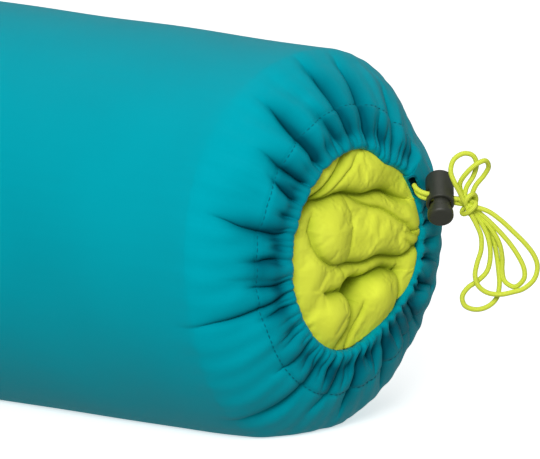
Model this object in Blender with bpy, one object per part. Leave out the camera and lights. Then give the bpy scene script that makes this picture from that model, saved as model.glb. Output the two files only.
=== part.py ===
"""Camp pillow packed in its drawcord stuff sack.

Metres, +Z up. The sack lies on its side: its axis is along X, its mouth points to +X, and it rests on a
flat strip at Z = 0. The origin is under the middle of the sack, from the grab loop to the mouth.

The pieces are the sack's cloth panels, bindings and drawcord casing, the drawcord and its tied tails, the
spring-loaded cord lock that slides on them, and the pillow inside: two cover panels, their seam and the fill.
"""

import math

import bmesh
import bpy
from mathutils import Matrix, Vector

# ---------------------------------------------------------------- sizes of the sack
SACK_RADIUS = 0.0775
SACK_LENGTH = 0.275  # from the base seam to the mouth's edge
REST_HALF_WIDTH = 0.022  # half the width of the flat strip that the packed sack rests on
CLOTH = 0.0008  # a panel with its turned allowances
GAP = 0.0003  # between pieces that touch
BASE_CORNER = 0.004  # radius where the side panel turns in to the base seam
BASE_DOME = 0.004  # how far the stuffed base bulges
SHOULDER_LENGTH = 0.030  # along X, from the straight wall to the mouth
SHOULDER_END = math.radians(72)  # where the shoulder's quarter ellipse stops, at the mouth
MOUTH_RADIUS = 0.041

# ---------------------------------------------------------------- sizes of the casing and the drawcord
CORD_DIAMETER = 0.0020
CORD_PITCH = 0.0024  # between the two cords where they run side by side
CORD_BEND = 0.0040  # radius of the cord's turn out of the casing
CASING_DEPTH = 0.018  # from the mouth's edge to the stitch row
CASING_ALLOWANCE = 0.004  # of the casing's inner layer past the stitch row
CHANNEL_RADIUS = 0.0016  # of the fold that holds the cord
STITCH_RADIUS = 0.00025
EXIT_ANGLE = math.radians(31)  # of the buttonhole, from +Y towards +Z
EXIT_LEAN = math.radians(45)  # of the buttonhole, from straight out along +X towards the sack's axis
BUTTONHOLE_LENGTH = 0.0090
BUTTONHOLE_WIDTH = 0.0029
PATCH_THICKNESS = 0.0006
PATCH_HALF_LENGTH = 0.0060
PATCH_DEPTH = 0.0080  # of the patch, back from the mouth's edge

# ---------------------------------------------------------------- sizes of the bindings and the grab loop
BINDING_HEIGHT = 0.0048
BINDING_THICKNESS = 0.0020
SIDE_BINDING_WIDTH = 0.0100
SIDE_SEAM_ANGLE = math.radians(-35)
WEBBING_WIDTH = 0.0150
WEBBING_THICKNESS = 0.0012
LOOP_HALF_SPAN = 0.0320  # from the base's middle to the end of a sewn tab
LOOP_TAB = 0.0090
LOOP_RISE = 0.0140
LOOP_TOP_HALF = 0.0080  # half of the loop's straight top
BARTACK_WIDTH = 0.0020
BARTACK_THICKNESS = 0.0006

# ---------------------------------------------------------------- sizes of the pillow
PILLOW_INSET = 0.0024  # the cover's outer face, under the sack's outer face
COVER_THICKNESS = 0.0010
COVER_SEAM_GAP = 0.0010  # between the two cover panels
COVER_SEAM_THICKNESS = 0.0004
COVER_SEAM_WIDTH = 0.0026
PILLOW_FRONT_DEPTH = 0.0320  # of the crowned front, along X
PILLOW_FRONT_RECESS = 0.0030  # of the crown, behind the mouth
PILLOW_FRONT_POWER = 2.2
PILLOW_REAR_DEPTH = 0.0160
PILLOW_REAR_GAP = 0.0020
PILLOW_REAR_POWER = 4.0

# ---------------------------------------------------------------- sizes of the cord lock
BARREL_RADIUS = 0.0056
BARREL_BORE = 0.0044
BARREL_CLOSED_END = -0.0110  # along the lock's axis, from the cords
BARREL_OPEN_END = 0.0036
BARREL_END_WALL = 0.0015
BUTTON_RUN_CLEARANCE = 0.00025
BUTTON_TRAVEL = 0.0035
BUTTON_STOP_GAP = 0.0002
BUTTON_CAP_HEIGHT = 0.0038
STEM_PAST_SLOT = 0.0022
SLOT_PLAY = 0.0003  # between a cord and the edge that grips it
BARREL_SLOT_BACK = 0.0022  # of the barrel's slot, from the cords towards the closed end
SPRING_WIRE = 0.0004
SPRING_RADIUS = 0.0031
SPRING_TURNS = 4
# From the cord's line at the buttonhole to the middle of the cords in the lock, which clears the casing.
LOCK_FROM_BUTTONHOLE = Vector((0.0127, 0.0009, -0.0051))
# The lock's button points along LOCK_AXIS, and the cords run along CORD_WAY through it.
LOCK_AXIS = Vector((0.512, -0.6235, -0.587)).normalized()
CORD_WAY = Vector((0.668, 0.715, -0.209))
CORD_WAY = (CORD_WAY - CORD_WAY.dot(LOCK_AXIS) * LOCK_AXIS).normalized()
LOCK_ACROSS = LOCK_AXIS.cross(CORD_WAY)

# ---------------------------------------------------------------- sizes of the tied tails
LOCK_SLIDE = 0.0015  # how far the lock can slide along the cords before it meets the knot
KNOT_RADII = Vector((0.0038, 0.0038, 0.0046))
KNOT_FROM_LOCK = BARREL_RADIUS + LOCK_SLIDE + KNOT_RADII.x + GAP
LOOPS_WAY = Vector((0.788, 0.616, 0.0)).normalized()  # the tied loops spread along this and Z
LONG_LOOPS_THICKNESS = 0.0080
SHORT_LOOPS_THICKNESS = 0.0060
# Outlines of the two groups of loops, (along LOOPS_WAY, up), from the knot's middle.
LONG_LOOPS = [
    (0.0000, -0.0056), (0.0058, -0.0054), (0.0136, -0.0072), (0.0214, -0.0139), (0.0266, -0.0210),
    (0.0282, -0.0282), (0.0260, -0.0350), (0.0214, -0.0396), (0.0153, -0.0413), (0.0079, -0.0441),
    (0.0022, -0.0445), (-0.0026, -0.0405), (-0.0012, -0.0355), (0.0018, -0.0320), (0.0025, -0.0264),
    (0.0032, -0.0195), (0.0025, -0.0125),
]  # fmt: skip
SHORT_LOOPS = [
    (-0.0026, 0.0056), (-0.0044, 0.0080), (-0.0046, 0.0120), (-0.0055, 0.0168), (-0.0030, 0.0206),
    (0.0025, 0.0204), (0.0070, 0.0183), (0.0088, 0.0145), (0.0070, 0.0105), (0.0032, 0.0060),
]  # fmt: skip

# ---------------------------------------------------------------- how finely the solids are faceted
AROUND = 48
AROUND_LOCK = 28
FULL_TURN = 2 * math.pi

# ---------------------------------------------------------------- what follows from those sizes
AXIS_HEIGHT = math.sqrt(SACK_RADIUS**2 - REST_HALF_WIDTH**2)
FOLD_RADIUS = CHANNEL_RADIUS + CLOTH
SHOULDER_A = SHOULDER_LENGTH / math.sin(SHOULDER_END)
SHOULDER_B = (SACK_RADIUS - MOUTH_RADIUS) / (1 - math.cos(SHOULDER_END))


def shoulder_table(steps=400):
    """(distance back from the mouth's edge, ellipse angle) along the shoulder, from the edge to the wall."""
    table = [(0.0, SHOULDER_END)]
    for i in range(1, steps + 1):
        angle = SHOULDER_END * (1 - i / steps)
        middle = SHOULDER_END * (1 - (i - 0.5) / steps)
        speed = math.hypot(SHOULDER_A * math.cos(middle), SHOULDER_B * math.sin(middle))
        table.append((table[-1][0] + speed * SHOULDER_END / steps, angle))
    return table


SHOULDER = shoulder_table()


def shoulder_angle(back):
    """The ellipse angle at a distance back from the mouth's edge, 0 on the straight wall."""
    if back >= SHOULDER[-1][0]:
        return 0.0
    for (near, high), (far, low) in zip(SHOULDER, SHOULDER[1:]):
        if back <= far:
            return high + (low - high) * max(0.0, back - near) / (far - near)
    return 0.0


def cloth_line(back, inset=0.0):
    """(x, r) on the sack's wall, `back` behind the mouth's edge along the cloth and `inset` under it.

    x is measured from the mouth's edge, and is negative behind it. In front of the edge the line runs on
    straight."""
    angle = shoulder_angle(back)
    straight = max(0.0, back - SHOULDER[-1][0]) + min(0.0, back)
    normal = Vector((SHOULDER_B * math.sin(angle), SHOULDER_A * math.cos(angle))).normalized()
    x = SHOULDER_A * math.sin(angle) - SHOULDER_LENGTH - straight * normal.y - inset * normal.x
    r = SACK_RADIUS - SHOULDER_B * (1 - math.cos(angle)) + straight * normal.x - inset * normal.y
    return x, r


CHANNEL_X, CHANNEL_R = cloth_line(FOLD_RADIUS, FOLD_RADIUS)
EXIT_REACH = CORD_BEND * math.cos(EXIT_LEAN) + CORD_DIAMETER / 2 * math.sin(EXIT_LEAN)
FRONT_REACH = SACK_LENGTH + CHANNEL_X + EXIT_REACH
REAR_REACH = BASE_DOME + GAP + LOOP_RISE + WEBBING_THICKNESS
BASE_X = (REAR_REACH - FRONT_REACH) / 2
MOUTH_X = BASE_X + SACK_LENGTH
AXIS_POINT = Vector((0.0, 0.0, AXIS_HEIGHT))


# ---------------------------------------------------------------- helpers
def clear_scene():
    for obj in list(bpy.data.objects):
        bpy.data.objects.remove(obj)


def make_material(name, colour, roughness, metallic=0.0):
    material = bpy.data.materials.new(name)
    material.use_nodes = True
    shader = material.node_tree.nodes["Principled BSDF"]
    shader.inputs["Base Color"].default_value = (*colour, 1.0)
    shader.inputs["Roughness"].default_value = roughness
    shader.inputs["Metallic"].default_value = metallic
    return material


def add_object(name, data, material, parent=None):
    obj = bpy.data.objects.new(name, data)
    obj.data.materials.append(material)
    bpy.context.scene.collection.objects.link(obj)
    obj.parent = parent
    return obj


def finish_mesh(name, mesh, material, parent=None, sharp=math.radians(35)):
    """The bmesh as a new object, with its faces pointing out and its round stretches smooth."""
    bmesh.ops.recalc_face_normals(mesh, faces=mesh.faces)
    data = bpy.data.meshes.new(name)
    mesh.to_mesh(data)
    mesh.free()
    data.shade_smooth()
    data.set_sharp_from_angle(angle=sharp)
    return add_object(name, data, material, parent)


def in_sack(x, r, inset, angle):
    """A point of the sack at radius r, pushed up to the flat strip where the round would pass below it."""
    down = -math.sin(angle)
    floor = AXIS_HEIGHT - inset
    if r * down > floor:
        r = floor / down
    return Vector((x, r * math.cos(angle), r * math.sin(angle))) + AXIS_POINT


def round_z(z, r, _inset, angle):
    """A point of a piece turned about its own Z."""
    return Vector((r * math.cos(angle), r * math.sin(angle), z))


def revolve(name, profile, material, place=in_sack, start=0.0, turn=FULL_TURN, steps=AROUND, parent=None):
    """A solid swept round an axis from a profile of (along, radius, inset).

    A profile from axis to axis makes a lump, and any other makes a ring. Under a full turn it makes a strip,
    whose profile runs out along one face and back along the other with as many points."""
    whole = math.isclose(turn, FULL_TURN)
    angles = [start + turn * i / steps for i in range(steps + (not whole))]
    on_axis = [point[1] < 1e-9 for point in profile]
    mesh = bmesh.new()
    poles = {k: mesh.verts.new(place(*profile[k], 0.0)) for k, pole in enumerate(on_axis) if pole}
    rings = [
        [poles.get(k) or mesh.verts.new(place(*point, angle)) for k, point in enumerate(profile)]
        for angle in angles
    ]
    spans = len(profile) - (1 if poles else 0)
    for i in range(len(angles) - (not whole)):
        ring, following = rings[i], rings[(i + 1) % len(rings)]
        for k in range(spans):
            m = (k + 1) % len(profile)
            corners = [ring[k], ring[m], following[m], following[k]]
            mesh.faces.new(list(dict.fromkeys(corners)))
    if not whole:
        for ring in (rings[0], rings[-1]):
            for k in range(len(profile) // 2 - 1):
                mesh.faces.new([ring[k], ring[k + 1], ring[-2 - k], ring[-1 - k]])
    return finish_mesh(name, mesh, material, parent)


def arc(middle, radius, first, last, steps):
    """Points on an arc in a plane, from angle first to angle last."""
    angles = [first + (last - first) * i / steps for i in range(steps + 1)]
    return [(middle[0] + radius * math.cos(a), middle[1] + radius * math.sin(a)) for a in angles]


def extrude_outline(name, outline, depth, material, bevel=0.0):
    """A plate: a closed outline in the local XZ plane, `depth` thick along Y, with its rims bevelled."""
    mesh = bmesh.new()
    face = mesh.faces.new([mesh.verts.new((x, -depth / 2, z)) for x, z in outline])
    grown = bmesh.ops.extrude_face_region(mesh, geom=[face])["geom"]
    moved = [item for item in grown if isinstance(item, bmesh.types.BMVert)]
    bmesh.ops.translate(mesh, verts=moved, vec=(0, depth, 0))
    if bevel:
        rims = [e for e in mesh.edges if abs(e.verts[0].co.y - e.verts[1].co.y) < depth / 2]
        bmesh.ops.bevel(mesh, geom=rims, offset=bevel, segments=2, profile=0.5, affect="EDGES")
    return finish_mesh(name, mesh, material)


def spline_through(points, spacing, closed=False):
    """Points about `spacing` apart on the smooth curve through the given ones (Catmull-Rom)."""
    count = len(points)
    if closed:
        padded = [points[-1], *points, points[0], points[1]]
    else:
        padded = [2 * points[0] - points[1], *points, 2 * points[-1] - points[-2]]
    found = []
    for i in range(count if closed else count - 1):
        p0, p1, p2, p3 = padded[i : i + 4]
        pieces = max(1, round((p2 - p1).length / spacing))
        for step in range(pieces):
            t = step / pieces
            found.append(
                0.5 * (2 * p1 + (p2 - p0) * t + (2 * p0 - 5 * p1 + 4 * p2 - p3) * t**2
                       + (3 * p1 - p0 - 3 * p2 + p3) * t**3)
            )  # fmt: skip
    return found if closed else [*found, points[-1].copy()]


def bezier_point(controls, t):
    a, b, c, d = controls
    return a * (1 - t) ** 3 + b * 3 * t * (1 - t) ** 2 + c * 3 * t**2 * (1 - t) + d * t**3


def tube(name, points, radius, material, parent=None, bevel_resolution=2):
    """A round cord or wire along a polyline, with filled ends."""
    curve = bpy.data.curves.new(name, "CURVE")
    curve.dimensions = "3D"
    curve.bevel_depth = radius
    curve.bevel_resolution = bevel_resolution
    curve.use_fill_caps = True
    spline = curve.splines.new("POLY")
    spline.points.add(len(points) - 1)
    for spot, point in zip(spline.points, points):
        spot.co = (*point, 1.0)
    return add_object(name, curve, material, parent)


def cut(obj, cutter, operation="DIFFERENCE"):
    modifier = obj.modifiers.new(f"{operation.lower()} {cutter.name}", "BOOLEAN")
    modifier.operation = operation
    modifier.object = cutter
    return obj


def as_helper(obj):
    obj.hide_render = True
    obj.display_type = "WIRE"
    return obj


def box_helper(name, size, middle, material, parent=None):
    mesh = bmesh.new()
    bmesh.ops.create_cube(mesh, size=1.0)
    bmesh.ops.scale(mesh, vec=size, verts=mesh.verts)
    bmesh.ops.translate(mesh, vec=middle, verts=mesh.verts)
    return as_helper(finish_mesh(name, mesh, material, parent))


# ---------------------------------------------------------------- the sack's cloth
def wall_profile(backs, inset):
    """Profile points (x, r, inset) along the sack's wall, from distances back of the mouth's edge."""
    points = []
    for back in backs:
        x, r = cloth_line(back, inset)
        points.append((MOUTH_X + x, r, inset))
    return points


def make_side_panel(material):
    """The tube of the sack: from the base seam, round the corner, along the wall and over the shoulder."""
    wall_end = SHOULDER[-1][0]
    backs = [wall_end] + [wall_end + (CASING_DEPTH - wall_end) * share for share in (0.2, 0.4, 0.6, 0.8, 1)]
    middle = (BASE_X + BASE_CORNER, SACK_RADIUS - BASE_CORNER)
    outer = [(x, r, 0.0) for x, r in arc(middle, BASE_CORNER, math.pi, math.pi / 2, 4)]
    inner = [(x, r, CLOTH) for x, r in arc(middle, BASE_CORNER - CLOTH, math.pi, math.pi / 2, 4)]
    outer += wall_profile(backs, 0.0)
    inner += wall_profile(backs, CLOTH)
    return revolve("sack_side_panel", outer + inner[::-1], material)


def base_face(r, depth=0.0):
    """x of the domed base at radius r, `depth` inside its outer face."""
    rim = SACK_RADIUS - BASE_CORNER - GAP
    return BASE_X - BASE_DOME * (1 - (r / rim) ** 2) + depth


def make_base_panel(material):
    rim = SACK_RADIUS - BASE_CORNER - GAP
    radii = [rim * share for share in (0.0, 0.35, 0.7, 1.0)]
    outer = [(base_face(r), r, 0.0) for r in radii]
    inner = [(base_face(r, CLOTH), r, CLOTH) for r in radii]
    return revolve("sack_base_panel", outer + inner[::-1], material)


def make_base_binding(material):
    """The tape that binds the base seam's allowances, inside the sack."""
    low = SACK_RADIUS - BASE_CORNER - BINDING_THICKNESS
    near = BASE_X + CLOTH + GAP
    far = near + BINDING_HEIGHT
    high = low + BINDING_THICKNESS
    profile = [(near, low, CLOTH), (near, high, CLOTH), (far, high, CLOTH), (far, low, CLOTH)]
    return revolve("base_seam_binding", profile, material)


def make_side_binding(material):
    """The tape along the side seam, inside the tube."""
    half = SIDE_BINDING_WIDTH / 2 / SACK_RADIUS
    top = CLOTH + GAP
    low = top + CLOTH
    first = BASE_X + CLOTH + BINDING_HEIGHT + 4 * GAP
    last = MOUTH_X - SHOULDER_LENGTH
    corners = ((first, top), (last, top), (last, low), (first, low))
    profile = [(x, SACK_RADIUS - inset, inset) for x, inset in corners]
    return revolve(
        "side_seam_binding", profile, material, start=SIDE_SEAM_ANGLE - half, turn=2 * half, steps=3
    )


def fold_profile(radius, first, last, steps):
    """(back, inset) points on the casing's fold: first and last are angles from its outer tangent."""
    turns = [first + (last - first) * i / steps for i in range(steps + 1)]
    return [(FOLD_RADIUS - radius * math.sin(a), FOLD_RADIUS - radius * math.cos(a)) for a in turns]


def placed_profile(points):
    placed = []
    for back, inset in points:
        x, r = cloth_line(back, inset)
        placed.append((MOUTH_X + x, r, inset))
    return placed


def make_casing(material, buttonhole):
    """The hem at the mouth: an outer layer, the fold round the cord, and an inner layer under the panel."""
    inner_top = CLOTH + GAP
    flare = 0.45 * CASING_DEPTH  # where the inner layer stops running beside the cord
    outer_layer = [(CASING_DEPTH - GAP, 0.0), (0.55 * CASING_DEPTH, 0.0)]
    inner_layer = [
        (flare, 2 * FOLD_RADIUS - 0.5 * CLOTH),
        (CASING_DEPTH, inner_top + CLOTH),
        (CASING_DEPTH + CASING_ALLOWANCE, inner_top + CLOTH),
        (CASING_DEPTH + CASING_ALLOWANCE, inner_top),
        (CASING_DEPTH, inner_top),
        (flare, 2 * FOLD_RADIUS - 1.5 * CLOTH),
    ]
    outside = fold_profile(FOLD_RADIUS, 0.0, math.pi, 6)
    inside = fold_profile(CHANNEL_RADIUS, math.pi, 0.0, 6)
    outer_inside = [(0.55 * CASING_DEPTH, CLOTH), (CASING_DEPTH - GAP, CLOTH)]
    profile = outer_layer + outside + inner_layer + inside + outer_inside
    casing = revolve("drawcord_casing", placed_profile(profile), material)
    return cut(casing, buttonhole)


def make_stitch_row(material):
    """The thread that closes the casing, lying over the joint with the side panel."""
    lift = STITCH_RADIUS + GAP
    back = CASING_DEPTH - GAP / 2
    points = [(back + x, -lift + y) for x, y in arc((0, 0), STITCH_RADIUS, 0, FULL_TURN, 5)[:-1]]
    return revolve("casing_stitch_row", placed_profile(points), material, steps=AROUND)


def make_exit_patch(material, buttonhole):
    """The small patch folded over the mouth's edge, through which the buttonhole is cut."""
    low = FOLD_RADIUS + GAP
    high = low + PATCH_THICKNESS
    half = PATCH_HALF_LENGTH / CHANNEL_R
    outside = [(PATCH_DEPTH, FOLD_RADIUS - high)] + fold_profile(high, 0.0, math.pi, 8)
    inside = fold_profile(low, math.pi, 0.0, 8) + [(PATCH_DEPTH, FOLD_RADIUS - low)]
    patch = revolve(
        "cord_exit_patch", placed_profile(outside + inside), material,
        start=EXIT_ANGLE - half, turn=2 * half, steps=6,
    )  # fmt: skip
    return cut(patch, buttonhole)


def exit_way(angle=EXIT_ANGLE):
    """The way out of the buttonhole: forward, and leaning in towards the sack's axis."""
    lean = -math.sin(EXIT_LEAN)
    return Vector((math.cos(EXIT_LEAN), lean * math.cos(angle), lean * math.sin(angle)))


def casing_point(sideways, outward):
    """A point on the cord's line in the casing: sideways of the buttonhole, and out along its way."""
    angle = EXIT_ANGLE + sideways / CHANNEL_R
    around = Vector((0.0, CHANNEL_R * math.cos(angle), CHANNEL_R * math.sin(angle)))
    return Vector((MOUTH_X + CHANNEL_X, 0.0, 0.0)) + AXIS_POINT + around + outward * exit_way(angle)


def make_buttonhole_cutter(material):
    """A round-ended slot through the front of the fold, running along the mouth's edge."""
    half = BUTTONHOLE_LENGTH / 2 - BUTTONHOLE_WIDTH / 2
    outline = arc((half, 0), BUTTONHOLE_WIDTH / 2, -math.pi / 2, math.pi / 2, 6)
    outline += arc((-half, 0), BUTTONHOLE_WIDTH / 2, math.pi / 2, 1.5 * math.pi, 6)
    depth = 2 * CORD_BEND
    cutter = extrude_outline("buttonhole_cutter", outline, depth, material)
    tangent = Vector((0.0, -math.sin(EXIT_ANGLE), math.cos(EXIT_ANGLE)))
    turn = Matrix((tangent, exit_way(), tangent.cross(exit_way()))).transposed().to_4x4()
    cutter.matrix_world = Matrix.Translation(casing_point(0.0, depth / 2)) @ turn
    return as_helper(cutter)


# ---------------------------------------------------------------- the grab loop on the base
def loop_height(y):
    """How far the loop stands off the base: its top is straight, and it comes down in an S to its tabs."""
    foot = LOOP_HALF_SPAN - LOOP_TAB
    share = min(1.0, max(0.0, (foot - abs(y)) / (foot - LOOP_TOP_HALF)))
    return LOOP_RISE * (0.5 - 0.5 * math.cos(math.pi * share))


def make_grab_loop(material):
    """Webbing across the base: two sewn tabs and a loop that stands off between them."""
    foot = LOOP_HALF_SPAN - LOOP_TAB
    bend = foot - LOOP_TOP_HALF
    half = [LOOP_HALF_SPAN - LOOP_TAB * share for share in (0.0, 0.5, 1.0)]
    half += [foot - bend * (i + 1) / 8 for i in range(8)]
    ys = half + [-y for y in half[::-1]]
    lift = GAP + WEBBING_THICKNESS / 2
    middle = [Vector((y, base_face(abs(y)) - lift - loop_height(y))) for y in ys]
    near, far = [], []
    for i, point in enumerate(middle):
        along = (middle[min(i + 1, len(middle) - 1)] - middle[max(i - 1, 0)]).normalized()
        across = Vector((-along.y, along.x)) * WEBBING_THICKNESS / 2
        near.append(point + across)
        far.append(point - across)
    mesh = bmesh.new()
    outline = [mesh.verts.new((p.y, p.x, AXIS_HEIGHT - WEBBING_WIDTH / 2)) for p in near + far[::-1]]
    grown = bmesh.ops.extrude_face_region(mesh, geom=[mesh.faces.new(outline)])["geom"]
    moved = [item for item in grown if isinstance(item, bmesh.types.BMVert)]
    bmesh.ops.translate(mesh, verts=moved, vec=(0, 0, WEBBING_WIDTH))
    return finish_mesh("grab_loop", mesh, material)


def make_bartack(name, side, material):
    """A dense bar of stitches across one tab of the loop."""
    y = side * (LOOP_HALF_SPAN - LOOP_TAB / 3)
    lift = 2 * GAP + WEBBING_THICKNESS + BARTACK_THICKNESS / 2
    mesh = bmesh.new()
    bmesh.ops.create_cube(mesh, size=1.0)
    size = (BARTACK_THICKNESS, BARTACK_WIDTH, WEBBING_WIDTH - BARTACK_WIDTH)
    bmesh.ops.scale(mesh, vec=size, verts=mesh.verts)
    bmesh.ops.translate(mesh, vec=(base_face(abs(y)) - lift, y, AXIS_HEIGHT), verts=mesh.verts)
    return finish_mesh(name, mesh, material)


# ---------------------------------------------------------------- the drawcord
def make_casing_cord(material):
    """The drawcord inside the casing: round the mouth, with both ends turned out through the buttonhole."""
    half_gap = CORD_PITCH / 2 + CORD_BEND
    bend = [(half_gap - CORD_BEND * math.sin(a), CORD_BEND * (1 - math.cos(a)))
            for a in (math.pi / 2 * share for share in (1.0, 0.75, 0.5, 0.25))]  # fmt: skip
    around = FULL_TURN * CHANNEL_R - 2 * half_gap
    steps = round(around / (3 * CORD_DIAMETER))
    route = [casing_point(sideways, outward) for sideways, outward in bend]
    route += [casing_point(half_gap + around * i / steps, 0.0) for i in range(steps + 1)]
    route += [casing_point(-sideways, outward) for sideways, outward in bend[::-1]]
    return tube("drawcord_in_casing", route, CORD_DIAMETER / 2, material)


def lock_middle():
    return casing_point(0.0, 0.0) + LOCK_FROM_BUTTONHOLE


def knot_middle():
    return lock_middle() + KNOT_FROM_LOCK * CORD_WAY


def make_tail(name, side, material):
    """One end of the drawcord: out of the buttonhole, round into the lock, through it and to the knot."""
    aside = side * CORD_PITCH / 2
    start = casing_point(aside, CORD_BEND + GAP)
    entry = lock_middle() + aside * LOCK_ACROSS - (BARREL_RADIUS + GAP) * CORD_WAY
    pull = 0.36 * (entry - start).length
    controls = [start, start + pull * exit_way(), entry - pull * CORD_WAY, entry]
    route = [bezier_point(controls, i / 6) for i in range(7)]
    reach = 2 * BARREL_RADIUS + LOCK_SLIDE + GAP
    route += [entry + reach * share * CORD_WAY for share in (0.25, 0.5, 0.75, 1.0)]
    return tube(name, route, CORD_DIAMETER / 2, material)


def make_knot(material):
    mesh = bmesh.new()
    bmesh.ops.create_uvsphere(mesh, u_segments=16, v_segments=10, radius=1.0)
    bmesh.ops.scale(mesh, vec=KNOT_RADII, verts=mesh.verts)
    knot = finish_mesh("tail_knot", mesh, material)
    knot.location = knot_middle()
    return knot


def make_loops(name, outline, thickness, material):
    """The outer shape of a group of cord loops, as a plate with rounded rims."""
    points = [Vector((x, 0.0, z)) for x, z in outline]
    smooth = spline_through(points, 2 * CORD_DIAMETER, closed=True)
    loops = extrude_outline(name, [(p.x, p.z) for p in smooth], thickness, material, bevel=CORD_DIAMETER / 2)
    away = Vector((0.0, 0.0, 1.0)).cross(LOOPS_WAY)
    turn = Matrix((LOOPS_WAY, away, Vector((0.0, 0.0, 1.0)))).transposed().to_4x4()
    loops.matrix_world = Matrix.Translation(knot_middle()) @ turn
    return loops


# ---------------------------------------------------------------- the cord lock, about its own Z
def slot_cutter(name, low, high, material, parent):
    """A slot for both cords, across a turned piece, from low to high along its axis."""
    width = CORD_PITCH + CORD_DIAMETER + 2 * SLOT_PLAY
    size = (4 * BARREL_RADIUS, width, high - low)
    return box_helper(name, size, (0.0, 0.0, (low + high) / 2), material, parent)


def make_lock_frame():
    """The empty that the lock's pieces are parented to: its Z is the lock's axis, its X the cords' way."""
    frame = bpy.data.objects.new("cord_lock_frame", None)
    bpy.context.scene.collection.objects.link(frame)
    turn = Matrix((CORD_WAY, LOCK_ACROSS, LOCK_AXIS)).transposed().to_4x4()
    frame.matrix_world = Matrix.Translation(lock_middle()) @ turn
    return frame


def make_barrel(material, frame):
    """The cup that the button slides in, closed at the back by a rounded end."""
    edge = 0.0012
    small = 0.0004
    outer = [(BARREL_CLOSED_END, 0.0)]
    outer += arc((BARREL_CLOSED_END + edge, BARREL_RADIUS - edge), edge, math.pi, math.pi / 2, 4)
    outer += arc((BARREL_OPEN_END - small, BARREL_RADIUS - small), small, math.pi / 2, 0, 2)
    floor = BARREL_CLOSED_END + BARREL_END_WALL
    inner = [(BARREL_OPEN_END, BARREL_BORE), (floor, BARREL_BORE), (floor, 0.0)]
    profile = [(z, r, 0.0) for z, r in outer + inner]
    barrel = revolve("cord_lock_barrel", profile, material, place=round_z, steps=AROUND_LOCK, parent=frame)
    grip = CORD_DIAMETER / 2 + SLOT_PLAY
    return cut(barrel, slot_cutter("barrel_slot_cutter", -BARREL_SLOT_BACK, grip, material, frame))


def stem_end():
    """Where the button's stem ends, along the lock's axis."""
    return -(CORD_DIAMETER / 2 + SLOT_PLAY + STEM_PAST_SLOT)


def make_button(material, frame):
    """The plunger: a slotted stem in the barrel and a domed cap to press."""
    stem = BARREL_BORE - BUTTON_RUN_CLEARANCE
    under_cap = BARREL_OPEN_END + BUTTON_TRAVEL + BUTTON_STOP_GAP
    top = under_cap + BUTTON_CAP_HEIGHT
    small = 0.0004
    crown = 0.0018
    outline = [(stem_end(), 0.0), (stem_end(), stem), (under_cap, stem)]
    outline += arc((under_cap + small, BARREL_RADIUS - small), small, math.pi, math.pi / 2, 2)
    outline += arc((top - crown, BARREL_RADIUS - crown), crown, math.pi / 2, math.radians(12), 4)
    outline += [(top, 0.0)]
    profile = [(z, r, 0.0) for z, r in outline]
    button = revolve("cord_lock_button", profile, material, place=round_z, steps=AROUND_LOCK, parent=frame)
    low = -(CORD_DIAMETER / 2 + SLOT_PLAY)
    high = CORD_DIAMETER / 2 + SLOT_PLAY + BUTTON_TRAVEL
    return cut(button, slot_cutter("button_slot_cutter", low, high, material, frame))


def make_spring(material, frame):
    """The coil that pushes the button out, between the barrel's floor and the stem."""
    low = BARREL_CLOSED_END + BARREL_END_WALL + SPRING_WIRE / 2 + GAP
    high = stem_end() - SPRING_WIRE / 2 - GAP
    steps = SPRING_TURNS * 12
    points = []
    for i in range(steps + 1):
        angle = SPRING_TURNS * FULL_TURN * i / steps
        points.append(round_z(low + (high - low) * i / steps, SPRING_RADIUS, 0.0, angle))
    return tube("cord_lock_spring", points, SPRING_WIRE / 2, material, frame, bevel_resolution=1)


# ---------------------------------------------------------------- the pillow inside
def pillow_profile(inset):
    """Axis to axis: a flat-faced rear, straight sides, and a crowned front behind the mouth.

    inset is how far the surface lies inside the cover's outer face."""
    radius = SACK_RADIUS - PILLOW_INSET - inset
    total = PILLOW_INSET + inset
    rear = BASE_X + PILLOW_REAR_GAP + PILLOW_REAR_DEPTH
    front = MOUTH_X - PILLOW_FRONT_RECESS - PILLOW_FRONT_DEPTH
    rear_shares = (0.0, 0.5, 0.8, 0.93, 1.0)
    front_shares = (1.0, 0.97, 0.88, 0.75, 0.6, 0.45, 0.25, 0.0)
    ends = [
        (rear, -(PILLOW_REAR_DEPTH - inset), PILLOW_REAR_POWER, rear_shares),
        (front, PILLOW_FRONT_DEPTH - inset, PILLOW_FRONT_POWER, front_shares),
    ]
    profile = []
    for x, depth, power, shares in ends:
        for share in shares:
            crown = depth * (1 - share**power) ** (1 / power)
            profile.append((x + crown, radius * share, total))
    return profile


def make_cover_panel(name, side, material):
    """Half of the pillow's cover, above or below the seam that runs round the middle."""
    panel = revolve(name, pillow_profile(0.0), material)
    shell = panel.modifiers.new("cover thickness", "SOLIDIFY")
    shell.thickness = COVER_THICKNESS
    shell.offset = -1.0
    size = Vector((2 * SACK_LENGTH, 4 * SACK_RADIUS, 2 * SACK_RADIUS))
    shift = side * (COVER_SEAM_GAP / 2 - SACK_RADIUS)
    middle = AXIS_POINT + Vector((0.0, 0.0, shift))
    return cut(panel, box_helper(f"{name}_cutter", size, middle, material))


def make_cover_seam(material):
    """The two panels' allowances, stitched together round the pillow's edge and turned inside."""
    seam = revolve("pillow_edge_seam", pillow_profile(0.0), material)
    shell = seam.modifiers.new("allowance width", "SOLIDIFY")
    shell.thickness = COVER_SEAM_WIDTH
    shell.offset = -1.0
    size = Vector((2 * SACK_LENGTH, 4 * SACK_RADIUS, COVER_SEAM_THICKNESS))
    return cut(seam, box_helper("edge_seam_slab", size, AXIS_POINT, material), "INTERSECT")


def make_fill(material):
    return revolve("pillow_foam_fill", pillow_profile(COVER_SEAM_WIDTH + 2 * GAP), material)


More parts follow.
